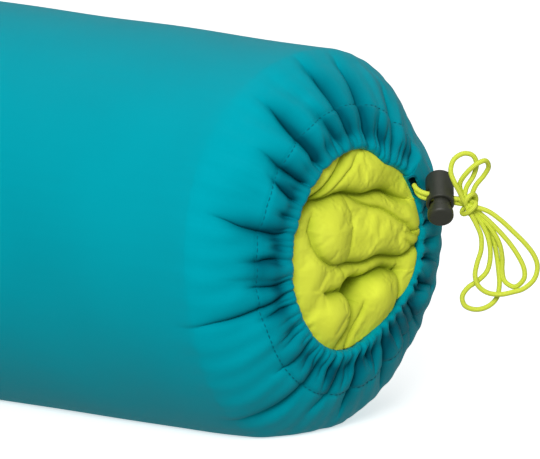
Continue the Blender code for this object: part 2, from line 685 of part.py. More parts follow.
# ---------------------------------------------------------------- the whole object
def main():
    clear_scene()
    teal = make_material("teal_cloth", (0.0, 0.34, 0.42), 0.45)
    teal_tape = make_material("teal_tape", (0.0, 0.22, 0.28), 0.7)
    thread = make_material("teal_thread", (0.0, 0.26, 0.32), 0.6)
    webbing = make_material("black_webbing", (0.02, 0.02, 0.022), 0.75)
    lime_cord = make_material("lime_cord", (0.62, 0.78, 0.05), 0.6)
    lime_cloth = make_material("lime_cloth", (0.66, 0.75, 0.06), 0.75)
    foam = make_material("white_foam", (0.85, 0.84, 0.78), 0.9)
    plastic = make_material("black_plastic", (0.02, 0.02, 0.018), 0.5)
    steel = make_material("spring_steel", (0.6, 0.6, 0.6), 0.3, 1.0)

    buttonhole = make_buttonhole_cutter(teal)
    make_side_panel(teal)
    make_base_panel(teal)
    make_base_binding(teal_tape)
    make_side_binding(teal_tape)
    make_casing(teal, buttonhole)
    make_stitch_row(thread)
    make_exit_patch(teal_tape, buttonhole)
    make_grab_loop(webbing)
    make_bartack("grab_loop_bartack_left", -1, webbing)
    make_bartack("grab_loop_bartack_right", 1, webbing)

    make_casing_cord(lime_cord)
    make_tail("cord_tail_upper", 1, lime_cord)
    make_tail("cord_tail_lower", -1, lime_cord)
    make_knot(lime_cord)
    make_loops("tail_long_loops", LONG_LOOPS, LONG_LOOPS_THICKNESS, lime_cord)
    make_loops("tail_short_loops", SHORT_LOOPS, SHORT_LOOPS_THICKNESS, lime_cord)

    frame = make_lock_frame()
    make_barrel(plastic, frame)
    make_button(plastic, frame)
    make_spring(steel, frame)

    make_cover_panel("pillow_top_panel", 1, lime_cloth)
    make_cover_panel("pillow_bottom_panel", -1, lime_cloth)
    make_cover_seam(lime_cloth)
    make_fill(foam)


main()
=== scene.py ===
# %% [markdown]
# # A camp pillow packed in its drawcord sack
#
# The object is mostly cloth: a taut tube of teal taffeta, a gathered mouth, and the crumpled cover of the
# pillow that fills it. The lesson builds each piece as a surface worked out with numpy: a shape is a
# function of two parameters, computed for a whole grid at once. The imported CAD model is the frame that
# every piece is placed on, so that nothing has to be fitted afterwards.

# %% Load the frame
import math

import bmesh
import bpy
import numpy as np
from mathutils import Matrix, Vector


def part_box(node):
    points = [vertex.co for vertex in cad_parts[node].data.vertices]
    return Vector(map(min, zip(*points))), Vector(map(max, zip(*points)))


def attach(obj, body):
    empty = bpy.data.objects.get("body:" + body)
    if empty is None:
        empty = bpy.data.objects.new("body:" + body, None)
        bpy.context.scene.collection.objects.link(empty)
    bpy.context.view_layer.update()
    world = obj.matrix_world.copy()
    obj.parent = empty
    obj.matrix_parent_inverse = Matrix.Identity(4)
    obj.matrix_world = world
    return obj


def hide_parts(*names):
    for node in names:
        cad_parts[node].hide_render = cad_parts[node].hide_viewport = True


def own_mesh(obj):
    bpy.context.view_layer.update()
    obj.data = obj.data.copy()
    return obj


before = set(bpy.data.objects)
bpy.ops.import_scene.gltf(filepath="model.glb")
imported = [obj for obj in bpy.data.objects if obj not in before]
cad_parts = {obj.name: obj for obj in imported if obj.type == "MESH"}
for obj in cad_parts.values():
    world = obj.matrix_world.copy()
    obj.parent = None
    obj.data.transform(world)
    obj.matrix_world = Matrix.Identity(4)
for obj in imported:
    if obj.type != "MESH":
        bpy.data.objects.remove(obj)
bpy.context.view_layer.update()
MM = 0.001

side_low, side_high = (np.array(corner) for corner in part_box("sack_side_panel"))
casing_high = np.array(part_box("drawcord_casing")[1])
RADIUS = side_high[1]
AXIS_Z = side_high[2] - RADIUS
BASE_X = side_low[0]
MOUTH_X = casing_high[0] + 0.45 * MM  # the cloth's edge stands this far in front of its rolled fold
MOUTH = np.array([MOUTH_X, 0.0, AXIS_Z])
print(f"sack radius {RADIUS / MM:.1f} mm, from x {BASE_X / MM:.1f} to {MOUTH_X / MM:.1f} mm")

# %% [markdown]
# ## The camera, the floor and the lights
#
# A long lens far away keeps the sack's sides parallel. Softboxes are big area lights: the bigger the light,
# the softer the change from light to shade. Here one stands near the camera, so that the shoulder, which
# faces the camera most squarely, is the brightest part, and one hangs above.

# %% Camera
VIEW_AZIMUTH = math.radians(38)
VIEW_ELEVATION = math.radians(11)
CAMERA_DISTANCE = 8.0
LENS_PER_METRE = 169  # mm of lens for each metre away, which sets how large the sack is in the picture
TOWARDS_CAMERA = np.array([
    math.sin(VIEW_AZIMUTH) * math.cos(VIEW_ELEVATION),
    -math.cos(VIEW_AZIMUTH) * math.cos(VIEW_ELEVATION),
    math.sin(VIEW_ELEVATION),
])  # fmt: skip
VIEW_RIGHT = np.array([math.cos(VIEW_AZIMUTH), math.sin(VIEW_AZIMUTH), 0.0])
VIEW_UP = np.cross(TOWARDS_CAMERA, VIEW_RIGHT)


def make_camera():
    data = bpy.data.cameras.new("camera")
    data.sensor_width = 36
    data.lens = LENS_PER_METRE * CAMERA_DISTANCE
    data.clip_start = 0.05
    data.clip_end = 50
    camera = bpy.data.objects.new("camera", data)
    bpy.context.scene.collection.objects.link(camera)
    aim = MOUTH - 36.3 * MM * VIEW_RIGHT + 8.7 * MM * VIEW_UP
    camera.location = aim + CAMERA_DISTANCE * TOWARDS_CAMERA
    turn = Matrix((VIEW_RIGHT, VIEW_UP, TOWARDS_CAMERA)).transposed()
    camera.rotation_mode = "QUATERNION"
    camera.rotation_quaternion = turn.to_quaternion()
    bpy.context.scene.camera = camera


make_camera()

# %% [markdown]
# ## Shader maths as Python
#
# A material is a network of nodes. Written out link by link it hides the idea, so one small class wraps a
# socket and overloads the arithmetic operators: an expression such as `noise * 0.1 + 0.4` adds its Math
# nodes.


# %% Shader helper
class Wire:
    """One output socket of a node, with arithmetic. Numbers and wires mix freely."""

    def __init__(self, tree, socket):
        self.tree = tree
        self.socket = socket

    def node(self, kind, values=(), output=0, **settings):
        """Adds a node: settings first, then (socket, value or wire) pairs. Gives one of its outputs."""
        made = self.tree.nodes.new(kind)
        for name, value in settings.items():
            setattr(made, name, value)
        for name, value in values:
            if isinstance(value, Wire):
                self.tree.links.new(value.socket, made.inputs[name])
            else:
                made.inputs[name].default_value = value
        return Wire(self.tree, made.outputs[output])

    def maths(self, operation, *terms):
        return self.node("ShaderNodeMath", list(enumerate(terms)), operation=operation)

    def __add__(self, other):
        return self.maths("ADD", self, other)

    def __sub__(self, other):
        return self.maths("SUBTRACT", self, other)

    def __rsub__(self, other):
        return self.maths("SUBTRACT", other, self)

    def __mul__(self, other):
        return self.maths("MULTIPLY", self, other)

    def sine(self):
        return self.maths("SINE", self)

    def clamped(self, low=0.0, high=1.0):
        return self.maths("MINIMUM", self.maths("MAXIMUM", self, low), high)

    def noise(self, scale, detail=2.0, rough=0.5):
        """A cloudy pattern from 0 to 1 at this place, with `scale` clouds to the metre."""
        pairs = [("Vector", self), ("Scale", scale), ("Detail", detail), ("Roughness", rough)]
        return self.node("ShaderNodeTexNoise", pairs)

    def stretched(self, x, y, z):
        """The place with its axes multiplied, so that a pattern on it is drawn out."""
        return self.node("ShaderNodeMapping", [("Vector", self), ("Scale", (x, y, z))])

    def tint(self, first, second):
        """A colour that goes from first to second as this wire goes from 0 to 1."""
        ends = [end if isinstance(end, Wire) else (*end, 1.0) for end in (first, second)]
        factor, colour_a, colour_b, colour_out = 0, 6, 7, 2  # where a colour Mix node keeps them
        pairs = [(factor, self), (colour_a, ends[0]), (colour_b, ends[1])]
        return self.node("ShaderNodeMix", pairs, output=colour_out, data_type="RGBA")

    def split(self):
        made = self.node("ShaderNodeSeparateXYZ", [("Vector", self)]).socket.node
        return [Wire(self.tree, made.outputs[i]) for i in range(3)]


class Finish:
    """A material with a Principled shader, and the places that patterns are read at."""

    def __init__(self, name, **constants):
        self.material = bpy.data.materials.new(name)
        self.material.use_nodes = True
        self.tree = self.material.node_tree
        self.shader = self.tree.nodes["Principled BSDF"]
        for socket, value in constants.items():
            self.shader.inputs[socket.replace("_", " ")].default_value = value
        place = self.tree.nodes.new("ShaderNodeTexCoord")
        self.place = Wire(self.tree, place.outputs["Object"])
        self.cloth = Wire(self.tree, place.outputs["UV"])

    def painted(self, name):
        """A number that the mesh carries at each of its points."""
        return self.place.node("ShaderNodeAttribute", [], output=2, attribute_name=name)

    def feed(self, socket, wire):
        self.tree.links.new(wire.socket, self.shader.inputs[socket])

    def bump(self, height, depth):
        """Dents the surface: height goes from 0 to 1 over `depth` metres."""
        pairs = [("Height", height), ("Distance", depth), ("Strength", 1.0)]
        self.feed("Normal", self.place.node("ShaderNodeBump", pairs))


def linear(red, green, blue):
    """A colour picked on a screen, 0 to 255, as the linear light that shaders work in."""
    shares = (red / 255, green / 255, blue / 255)
    return tuple(((c + 0.055) / 1.055) ** 2.4 if c > 0.04 else c / 12.92 for c in shares)


# %% [markdown]
# ## Surfaces from arrays
#
# Every cloth piece below is a grid of points, one row for each place along a profile and one column for
# each angle round it. The helper turns such a grid into quads, and writes the cloth's own coordinates, in
# metres, as its UV map: a weave drawn on them follows the cloth wherever it goes.


# %% Mesh helpers
def grid_faces(rows, columns, closed_rows=False, closed_columns=False):
    """Four corner numbers for each cell of a grid whose points are numbered row by row."""
    i = np.arange(rows if closed_rows else rows - 1)[:, None]
    j = np.arange(columns if closed_columns else columns - 1)[None, :]
    down, along = (i + 1) % rows, (j + 1) % columns
    cells = [i * columns + j, i * columns + along, down * columns + along, down * columns + j]
    return np.stack([np.broadcast_to(c, (i.size, j.size)) for c in cells], axis=-1).reshape(-1, 4)


def new_piece(name, points, faces, uv=None, smooth=True):
    """A mesh object from arrays: points (n, 3), faces as rows of corner numbers, and uv for each corner."""
    data = bpy.data.meshes.new(name)
    data.from_pydata(points, [], faces)
    if uv is not None:
        layer = data.uv_layers.new(name="cloth")
        layer.data.foreach_set("uv", np.asarray(uv, dtype=np.float32).reshape(-1))
    data.polygons.foreach_set("use_smooth", np.full(len(faces), smooth))
    data.update()
    piece = bpy.data.objects.new(name, data)
    bpy.context.scene.collection.objects.link(piece)
    return piece


def paint(piece, name, values):
    """Stores a number for each point of a piece's mesh, for its material to read."""
    layer = piece.data.attributes.new(name, "FLOAT", "POINT")
    layer.data.foreach_set("value", np.asarray(values, dtype=np.float32).reshape(-1))


def sheet_mesh(name, grid, uv=None, closed_rows=False, closed_columns=False, keep=None):
    """A piece from a grid of points. uv is a grid of cloth coordinates one column wider than a closed grid,
    so that the seam's last column does not run back to zero. keep masks the cells that stay."""
    rows, columns = grid.shape[:2]
    faces = grid_faces(rows, columns, closed_rows, closed_columns)
    corners = None
    if uv is not None:
        wide = uv.shape[1]
        i, j = np.divmod(np.arange(len(faces)), columns if closed_columns else columns - 1)
        cells = [i * wide + j, i * wide + j + 1, (i + 1) * wide + j + 1, (i + 1) * wide + j]
        corners = uv.reshape(-1, 2)[np.stack(cells, axis=-1)]
    if keep is not None:
        faces = faces[keep.reshape(-1)]
        corners = corners[keep.reshape(-1)] if corners is not None else None
    return new_piece(name, grid.reshape(-1, 3), faces, corners)


def face_outwards(piece):
    """Turns every face of a closed piece outwards."""
    mesh = bmesh.new()
    mesh.from_mesh(piece.data)
    bmesh.ops.recalc_face_normals(mesh, faces=mesh.faces)
    mesh.to_mesh(piece.data)
    mesh.free()
    return piece


def close_ends(piece):
    """Fills the open rings at the ends of a piece, and turns every face outwards."""
    mesh = bmesh.new()
    mesh.from_mesh(piece.data)
    bmesh.ops.holes_fill(mesh, edges=[e for e in mesh.edges if e.is_boundary], sides=0)
    bmesh.ops.recalc_face_normals(mesh, faces=mesh.faces)
    mesh.to_mesh(piece.data)
    mesh.free()
    piece.data.polygons.foreach_set("use_smooth", np.ones(len(piece.data.polygons), bool))
    return piece


def unit(vectors):
    """The same directions with length 1, for one vector or for rows of them."""
    return vectors / np.linalg.norm(vectors, axis=-1, keepdims=True)


def run_along(line):
    """How far each point of a line is from its first one, along the line."""
    return np.concatenate([[0], np.cumsum(np.linalg.norm(np.diff(line, axis=0), axis=1))])


def turned_from(angle, other):
    """How many degrees an angle is from another, from -180 to 180."""
    return (angle - other + 180) % 360 - 180


def hump(angle, middle, half_width):
    """A bell curve round the sack: 1 at the middle angle, 0.37 at half_width degrees from it."""
    return np.exp(-((turned_from(angle, middle) / half_width) ** 2))


def smooth_step(x, low, high):
    """0 below low, 1 above high, and an S between."""
    t = np.clip((x - low) / (high - low), 0, 1)
    return t * t * (3 - 2 * t)


# %% Floor and lights
def make_area_light(name, place, size, power):
    data = bpy.data.lights.new(name, "AREA")
    data.shape = "RECTANGLE"
    data.size, data.size_y = size
    data.energy = power
    light = bpy.data.objects.new(name, data)
    bpy.context.scene.collection.objects.link(light)
    light.location = place
    light.rotation_mode = "QUATERNION"
    light.rotation_quaternion = (light.location - Vector(MOUTH)).to_track_quat("Z", "Y")


def make_stage():
    """A wide pale floor and the softboxes. The floor glows a little, so that its far parts stay white."""
    across, along = np.meshgrid([-30.0, 30.0], [-30.0, 30.0])
    points = np.stack([across, along, np.full(across.shape, -0.05 * MM)], axis=-1)
    ground = sheet_mesh("floor", points)
    finish = Finish("pale_floor", Roughness=0.9)
    finish.feed("Base Color", finish.place.noise(3.0).tint((0.92, 0.92, 0.92), (0.93, 0.93, 0.93)))
    finish.shader.inputs["Emission Color"].default_value = (1, 1, 1, 1)
    finish.shader.inputs["Emission Strength"].default_value = 0.6
    ground.data.materials.append(finish.material)
    ground.visible_diffuse = False
    ground.visible_glossy = False

    make_area_light("key_softbox", MOUTH + 1.9 * np.array([0.433, -0.75, 0.5]), (0.8, 0.8), 27.0)
    make_area_light("top_softbox", MOUTH + np.array([-0.10, 0.0, 1.4]), (1.2, 0.9), 3.0)

    world = bpy.data.worlds.new("studio")
    bpy.context.scene.world = world
    world.use_nodes = True
    background = world.node_tree.nodes["Background"]
    background.inputs["Color"].default_value = (1, 1, 1, 1)
    background.inputs["Strength"].default_value = 0.36
    bpy.context.scene.view_settings.view_transform = "Standard"


make_stage()

# %% [markdown]
# ## The sack's cloth as one surface
#
# The real sack is one tube of cloth. Its far end is sewn to a round base, and its near end is folded over a
# cord and stitched, which makes the casing. Pulling the cord gathers the cloth into deep creases that run
# back over the shoulder. A cloth simulation could gather it, but it would put the creases in places of its
# own. Worked out as a surface, each crease has its angle, its length and its depth.
#
# The profile below is most of a quarter of an ellipse, from the mouth to the straight wall. `back` is the
# distance along the cloth from the mouth's edge, and the fold round the cord is a half circle at its end.

# %% The sack's profile
SHOULDER_LENGTH = 30 * MM
SHOULDER_END = math.radians(72)
MOUTH_RADIUS = 41 * MM
SHOULDER_A = SHOULDER_LENGTH / math.sin(SHOULDER_END)
SHOULDER_B = (RADIUS - MOUTH_RADIUS) / (1 - math.cos(SHOULDER_END))
FOLD = 2.4 * MM
CASING = 18.5 * MM
BASE_CORNER = 4 * MM

turn_table = np.linspace(SHOULDER_END, 0, 1500)
speed = np.hypot(SHOULDER_A * np.cos(turn_table), SHOULDER_B * np.sin(turn_table))
back_table = np.concatenate([[0], np.cumsum((speed[1:] + speed[:-1]) / 2 * -np.diff(turn_table))])
SHOULDER_BACK = back_table[-1]
WALL_BACK = SHOULDER_BACK + (MOUTH_X - SHOULDER_LENGTH) - (BASE_X + BASE_CORNER)


def wall_line(back):
    """x, r and the outward normal's x and r parts, on the wall at a distance back from the mouth's edge."""
    angle = np.interp(back, back_table, turn_table)
    straight = np.maximum(back - SHOULDER_BACK, 0) + np.minimum(back, 0)
    nx, nr = SHOULDER_B * np.sin(angle), SHOULDER_A * np.cos(angle)
    size = np.hypot(nx, nr)
    nx, nr = nx / size, nr / size
    x = MOUTH_X - SHOULDER_LENGTH + SHOULDER_A * np.sin(angle) - straight * nr
    r = RADIUS - SHOULDER_B * (1 - np.cos(angle)) + straight * nx
    return x, r, nx, nr


print(f"the cloth runs {1000 * WALL_BACK:.0f} mm from the mouth's edge to the base corner")

# %% [markdown]
# Each crease is a valley with a sharp bottom and rounded banks, `exp(-|distance|)`. Between two of them the
# banks meet in a puff, which is how gathered taffeta stands. One bank is steeper than the other, as if the
# cloth had started to fold over. The long creases are listed one by one, and the short ones between them
# are at random.

# %% Creases
# angle at the mouth and angle at the back end, degrees from +Y towards +Z
# start, end, depth and width, mm, and lean
LONG_CREASES = [
    (121, 120, 0, 48, 8.4, 3.0, 0.5), (93, 97, 2, 52, 7.4, 3.8, 0.6), (80, 82, 0, 48, 7.2, 3.6, 0.6),
    (102, 109, 0, 28, 4.2, 2.4, 0.3), (135, 137, 0, 35, 6.4, 2.8, 0.5), (147, 142, 0, 26, 5.8, 2.6, 0.4),
    (163, 162, 2, 46, 7.2, 4.2, 0.6), (176, 176, 2, 30, 5.6, 2.6, -0.4), (187, 186, 0, 27, 5.4, 2.5, 0.5),
    (193, 198, 1, 58, 5.6, 2.4, 0.5), (200.5, 200, 0, 24, 4.6, 2.2, -0.5), (212, 212, 0, 18, 3.6, 2.4, 0.3),
    (226, 223, 0, 26, 6.0, 2.7, 0.5), (240, 235, 2, 58, 6.4, 3.0, 0.5), (251, 249, 0, 20, 4.6, 2.4, -0.4),
    (258, 252, 0, 31, 6.4, 2.8, 0.5), (265, 262, 0, 19, 4.2, 2.2, 0.3), (274, 271, 0, 36, 6.8, 2.8, -0.5),
    (58, 64, 2, 36, 6.4, 2.6, -0.5), (69, 72, 0, 20, 5.0, 2.3, 0.4), (112, 113, 0, 15, 3.2, 2.1, 0.3),
    (110, 108, 24, 46, 2.2, 6.0, 0.0), (184, 182, 10, 44, 1.8, 7.0, 0.2), (152, 150, 16, 50, 1.4, 6.0, 0.0),
    (155, 154, 0, 16, 3.4, 2.1, 0.3), (169.5, 170, 0, 15, 3.0, 1.9, -0.3), (233, 231, 0, 17, 3.6, 2.1, 0.3),
]  # fmt: skip


def all_creases():
    """The long creases, and close ones of random length round the far side of the mouth."""
    draw = np.random.default_rng(11)
    found = [tuple(c) for c in LONG_CREASES]
    angle = 281.0
    while angle < 360 + 52:
        length = draw.choice([15, 19, 24, 38])
        drift = draw.uniform(-3, 3)
        depth = draw.uniform(4.0, 6.4)
        lean = draw.choice([-0.5, 0.5])
        found.append((angle, angle + drift, 0, length, depth, draw.uniform(2.3, 3.0), lean))
        angle += draw.uniform(6.0, 9.5)
    angle = 60.0
    while angle < 60 + 355:
        lean = draw.choice([-0.4, 0.4])
        length = draw.uniform(9, 21)
        drift = draw.uniform(-1.5, 1.5)
        found.append((angle, angle + drift, 0, length, draw.uniform(1.2, 2.8), 1.5, lean))
        angle += draw.uniform(3.2, 6.4)
    return np.array(found)


CREASES = all_creases()
EXIT_ANGLE = 31.0  # of the buttonhole, degrees from +Y towards +Z


def creased(back, angle):
    """How far the creases move the smooth cloth, for grids of back (m) and angle (degrees): off it, in
    metres, and round it, in degrees. Also how much painted shade they put into the cloth's colour, from 0 to
    1: a band on the steep bank under each lip, and more the deeper the cloth lies in a valley.

    Off it is minus the sum, over the creases, of depth * fade(back) * exp(-distance / bank). Round it, the
    lip of the steep bank is pushed over the valley, so that the pleat hangs over its own shadow."""
    back_mm = back / MM
    arc_per_degree = wall_line(back)[1] / MM * math.pi / 180
    height = np.zeros(np.broadcast(back, angle).shape)
    shift, shade = np.zeros(height.shape), np.zeros(height.shape)
    for at_mouth, at_end, start, end, depth, width, lean in CREASES:
        share = np.clip(back_mm / end, 0, 1.3)
        line = at_mouth + (at_end - at_mouth) * share
        away = turned_from(angle, line) * arc_per_degree
        begins = smooth_step(back_mm, start + 1, start + 9)
        fade = (0.24 + 0.76 * begins) * (1 - smooth_step(back_mm, 0.35 * end, end))
        steeper = 1 + lean * np.sign(away) * np.minimum(np.abs(away) / 1.5, 1) * 0.6
        bank = width * (0.55 + 0.45 * share) * steeper
        sharp = np.sqrt((away / bank) ** 2 + 0.012) - 0.11
        height -= depth * fade * np.exp(-sharp)
        steep = np.clip(-away * np.sign(lean) / bank, 0, None)
        lip = steep * np.exp(1 - steep) * begins * (fade * depth / 5).clip(0, 1)
        shift += 2.3 * lean * lip * bank / arc_per_degree
        # painted shade: a dark band on the steep bank, under the lip that hangs over the valley
        shade += 0.55 * lip
    # the painted shade: the lips' bands, and more the deeper the cloth lies
    return height * MM, shift, np.clip(shade + np.clip(-height / 5.5, 0, 1) ** 1.3, 0, 1)


def fullness(back, angle):
    """How far the cloth stands off between the creases: a puff behind the casing, a kink where the taut wall
    ends and the loose shoulder begins, and a pinch beside the cord's exit."""
    back_mm = back / MM
    puff = 1.3 * smooth_step(back_mm, 2, 12) * (1 - smooth_step(back_mm, 22, 46))
    edge = SHOULDER_BACK / MM - 1 + 2.2 * np.sin(np.radians(3 * angle + 40))
    kink = -0.17 * np.clip(edge - back_mm, 0, 9) * smooth_step(back_mm, 6, 30)
    kink = kink * (1 - 0.6 * hump(angle, 228, 28))
    pinch = -4.0 * hump(angle, 38, 15) * smooth_step(back_mm, 9, 22) * (1 - smooth_step(back_mm, 30, 52))
    return (puff + kink + pinch) * MM


def calm(angle):
    """0 at the buttonhole, where the patch keeps the cloth flat, and 1 away from it."""
    return smooth_step(np.abs(turned_from(angle, EXIT_ANGLE)), 7, 15)


# %% [markdown]
# The fold takes the creases with it, but less deeply, because the cord inside it is round and stays in its
# ring. Under the sack the cloth is flat where it rests, and a smooth minimum turns the round into the flat.

# %% The cloth's grid
ANGLES = 760
FINE_TO = 52 * MM


def cloth_rows():
    """Back, inset and a share of the creases for each row, from the base corner to the casing's inner end."""
    wall = WALL_BACK - (WALL_BACK - FINE_TO) * (1 - np.linspace(1, 0, 30) ** 1.15)
    fine = FINE_TO - (FINE_TO - FOLD) * np.linspace(0, 1, 62)[1:]
    turn = np.linspace(0, math.pi, 14)[1:]
    inner_back = np.array([5.0, 8.0, 12.0, 16.0, 18.5, 21.5]) * MM
    inner_inset = np.array([4.9, 4.6, 3.6, 2.4, 1.8, 1.7]) * MM
    back = np.concatenate([wall, fine, FOLD * (1 - np.sin(turn)), inner_back])
    inset = np.concatenate([wall * 0, fine * 0, FOLD * (1 - np.cos(turn)), inner_inset])
    fold_share = 1 - 0.25 * turn / math.pi
    share = np.concatenate([wall * 0 + 1, fine * 0 + 1, fold_share, inner_back * 0 + 0.75])
    return back[:, None], inset[:, None], share[:, None]


def rounded_min(a, b, blend):
    """The smaller of two values, with the corner between them rounded over `blend`."""
    mix = np.clip(0.5 + (b - a) / (2 * blend), 0, 1)
    return b + (a - b) * mix - blend * mix * (1 - mix)


def around_axis(x, r, angle, floor_gap=0.15 * MM):
    """Points at radius r and an angle in degrees. Where they would go under the floor, they rest on it."""
    turn = np.radians(angle)
    side, up = r * np.cos(turn), r * np.sin(turn)
    depth = rounded_min(-up, AXIS_Z - floor_gap + 0 * up, 1.2 * MM)
    side = side * np.where(-up > 0, 1 + 0.012 * smooth_step(-up, 0.75 * AXIS_Z, AXIS_Z), 1)
    x, side, depth = np.broadcast_arrays(x, side, depth)
    return np.stack([x, side, AXIS_Z - depth], axis=-1)


def drawn_in(angle):
    """How far the cord has pulled the mouth's edge in from a circle, in metres: most at two places on the far
    side, where the gathers are tightest."""
    upper = 3.6 * hump(angle, 62, 13)
    lower = 4.6 * hump(angle, 297, 27)
    return (upper * calm(angle) + lower - 0.8 * np.cos(np.radians(angle - 160)) * calm(angle)) * MM


def cloth_point(back, angle, inset=0.0, share=1.0, lift=0.0):
    """Points of the sack's cloth. lift raises them off it along the wall's normal."""
    x, r, nx, nr = wall_line(back)
    step = 0.45 * MM * (1 - smooth_step(back, CASING - 0.6 * MM, CASING + 0.6 * MM))
    groove = -0.55 * MM * np.exp(-(((back - CASING) / (0.8 * MM)) ** 2))
    off, round_it, _ = creased(back, angle)
    height = off * calm(angle) * share + fullness(back, angle)
    height = height + (step + groove) * smooth_step(back, 0, 6 * MM) + slack(back, angle) + lift
    x = x - inset * nx + height * nx
    r = r - inset * nr + height * nr - drawn_in(angle) * (1 - smooth_step(back, 8 * MM, 36 * MM))
    return around_axis(x, r, angle + round_it * calm(angle))


def slack(back, angle):
    """Low waves of the cloth over the soft fill: long ones on the wall, and fans of shorter ones behind the
    casing. Each is a product of sines whose phases drift along the sack."""
    t = np.radians(angle)
    b = back / MM
    on_wall = smooth_step(b, 40, 75)
    slow = np.sin(3 * t + b / 31 + 0.6) * np.sin(b / 19 + 2.2 * np.cos(t)) + 0.6 * np.sin(5 * t - b / 23)
    fan = np.sin(31 * t + 2 * np.sin(b / 9)) * np.sin(17 * t + b / 14) + 0.7 * np.sin(23 * t - b / 11 + 1.0)
    near = smooth_step(b, 4, 20) * (1 - smooth_step(b, 30, 62))
    pucker = np.sin(58 * t + 1.5 * np.sin(5 * t)) * np.exp(-(WALL_BACK / MM - b) / 7.0)
    base = 1 - np.exp(-(WALL_BACK / MM - b) / 14)
    full = smooth_step(b, 25, 75) * base * (0.2 + 4.6 * hump(angle, -90, 42))
    return (0.32 * on_wall * slow + 0.38 * near * fan + 0.14 * pucker + full) * MM


def make_sack_cloth():
    """The whole tube: a hem tucked in at the base, the base's corner, and the rows of the profile."""
    back, inset, share = cloth_rows()
    angle = (np.arange(ANGLES) * 360 / ANGLES)[None, :]
    grid = cloth_point(back, angle, inset, share)
    turn = np.linspace(math.pi, math.pi / 2, 9)[:-1]
    corner_x = BASE_X + BASE_CORNER + BASE_CORNER * np.cos(turn)[:, None] + 0 * angle
    corner_r = RADIUS - BASE_CORNER + BASE_CORNER * np.sin(turn)[:, None]
    corner_r = corner_r + slack(WALL_BACK + 0 * angle, angle)
    tuck = around_axis(corner_x[:1] + 1.6 * MM, corner_r[:1] - 0.3 * MM, angle)
    grid = np.concatenate([tuck, around_axis(corner_x, corner_r, angle), grid])
    hole = buttonhole_cells(grid)
    around = np.linspace(0, 2 * math.pi * RADIUS, ANGLES + 1)
    uv = np.stack(np.meshgrid(around, run_along(grid[:, 0])), axis=-1)
    cloth = sheet_mesh("sack_cloth", grid, uv, closed_columns=True, keep=~hole)
    cloth.data.flip_normals()
    # Painted shade for the cloth's colour: dark in the creases and under their lips, a little over the casing
    # band, and full on the turned-in inner side of the casing, where the pillow shades it.
    painted_shade = creased(back, angle)[2] * calm(angle) + 0.14 * (back < CASING)
    painted_shade = painted_shade * share + smooth_step(inset, 2 * MM, 4.5 * MM)
    paint(cloth, "painted_shade", np.concatenate([np.zeros((1 + len(turn), ANGLES)), painted_shade]))
    return cloth


# %% [markdown]
# The cord comes out of the casing by a buttonhole at the mouth's edge, on the side of the cord lock. The
# hole is cut from the grid, and a row of close stitches goes round it.

# %% Buttonhole
fold_x, fold_r, fold_nx, fold_nr = (float(value) for value in wall_line(FOLD))
CHANNEL_X = fold_x - FOLD * fold_nx
CHANNEL_R = fold_r - FOLD * fold_nr
HOLE_HALF = 4.5 * MM
HOLE_WIDTH = 2.9 * MM
EXIT_LEAN = math.radians(45)


def round_mouth(angle):
    """The point of the cord's ring in the casing at an angle in degrees."""
    turn = np.radians(angle)
    ones = np.ones_like(turn)
    return np.stack([CHANNEL_X * ones, CHANNEL_R * np.cos(turn), AXIS_Z + CHANNEL_R * np.sin(turn)], axis=-1)


exit_turn = math.radians(EXIT_ANGLE)
EXIT_RING = round_mouth(np.array(EXIT_ANGLE))
exit_out = np.array([0.0, math.cos(exit_turn), math.sin(exit_turn)])
EXIT_WAY = np.array([math.cos(EXIT_LEAN), 0.0, 0.0]) - math.sin(EXIT_LEAN) * exit_out
EXIT_ALONG = np.array([0.0, -math.sin(exit_turn), math.cos(exit_turn)])
EXIT_ACROSS = np.cross(EXIT_ALONG, EXIT_WAY)


def in_buttonhole(points, reach):
    """True for points inside the round-ended slot, and no further out than reach."""
    away = points - EXIT_RING
    along, across, out = away @ EXIT_ALONG, away @ EXIT_ACROSS, away @ EXIT_WAY
    end = np.maximum(np.abs(along) - (HOLE_HALF - HOLE_WIDTH / 2), 0)
    return (np.hypot(end, across) < HOLE_WIDTH / 2) & (out > 0) & (out < reach)


def buttonhole_cells(grid):
    """True for the cells of the sack's grid that the buttonhole takes away."""
    middle = (grid[:-1] + grid[1:]) / 2
    return in_buttonhole((middle + np.roll(middle, -1, axis=1)) / 2, 4 * MM)


# %% [markdown]
# ## Tubes along a path
#
# Cords, threads and stitches are all a circle carried along a line. The circle's plane has to turn with the
# line without spinning about it, so each cross direction is the one before it, made square to the new
# tangent.


# %% Tube helper
def tube_grid(path, radius, sides):
    """Rings of points round a path: radius may be one number or one for each point."""
    tangent = unit(np.gradient(path, axis=0))
    across = np.zeros_like(path)
    across[0] = unit(np.cross(tangent[0], [0.3, 0.5, 0.8]))
    for i in range(1, len(path)):
        across[i] = unit(across[i - 1] - (across[i - 1] @ tangent[i]) * tangent[i])
    other = np.cross(tangent, across)
    turn = np.linspace(0, 2 * math.pi, sides, endpoint=False)
    radius = np.broadcast_to(radius, len(path))[:, None, None]
    ring = np.cos(turn)[None, :, None] * across[:, None] + np.sin(turn)[None, :, None] * other[:, None]
    return path[:, None] + radius * ring


def tube_piece(name, path, radius, sides=16):
    """A closed tube with domed ends, and UV in metres: round it and along it."""
    cap = np.radians([15, 40, 65])
    dome = 0.6 * radius * np.sin(cap)[:, None]
    head = path[0] - unit(path[1] - path[0]) * dome[::-1]
    tail = path[-1] + unit(path[-1] - path[-2]) * dome
    full = np.concatenate([head, path, tail])
    widths = radius * np.concatenate([np.cos(cap)[::-1], np.ones(len(path)), np.cos(cap)])
    around = np.linspace(0, 2 * math.pi * radius, sides + 1)
    uv = np.stack(np.meshgrid(around, run_along(full)), axis=-1)
    return close_ends(sheet_mesh(name, tube_grid(full, widths, sides), uv, closed_columns=True))


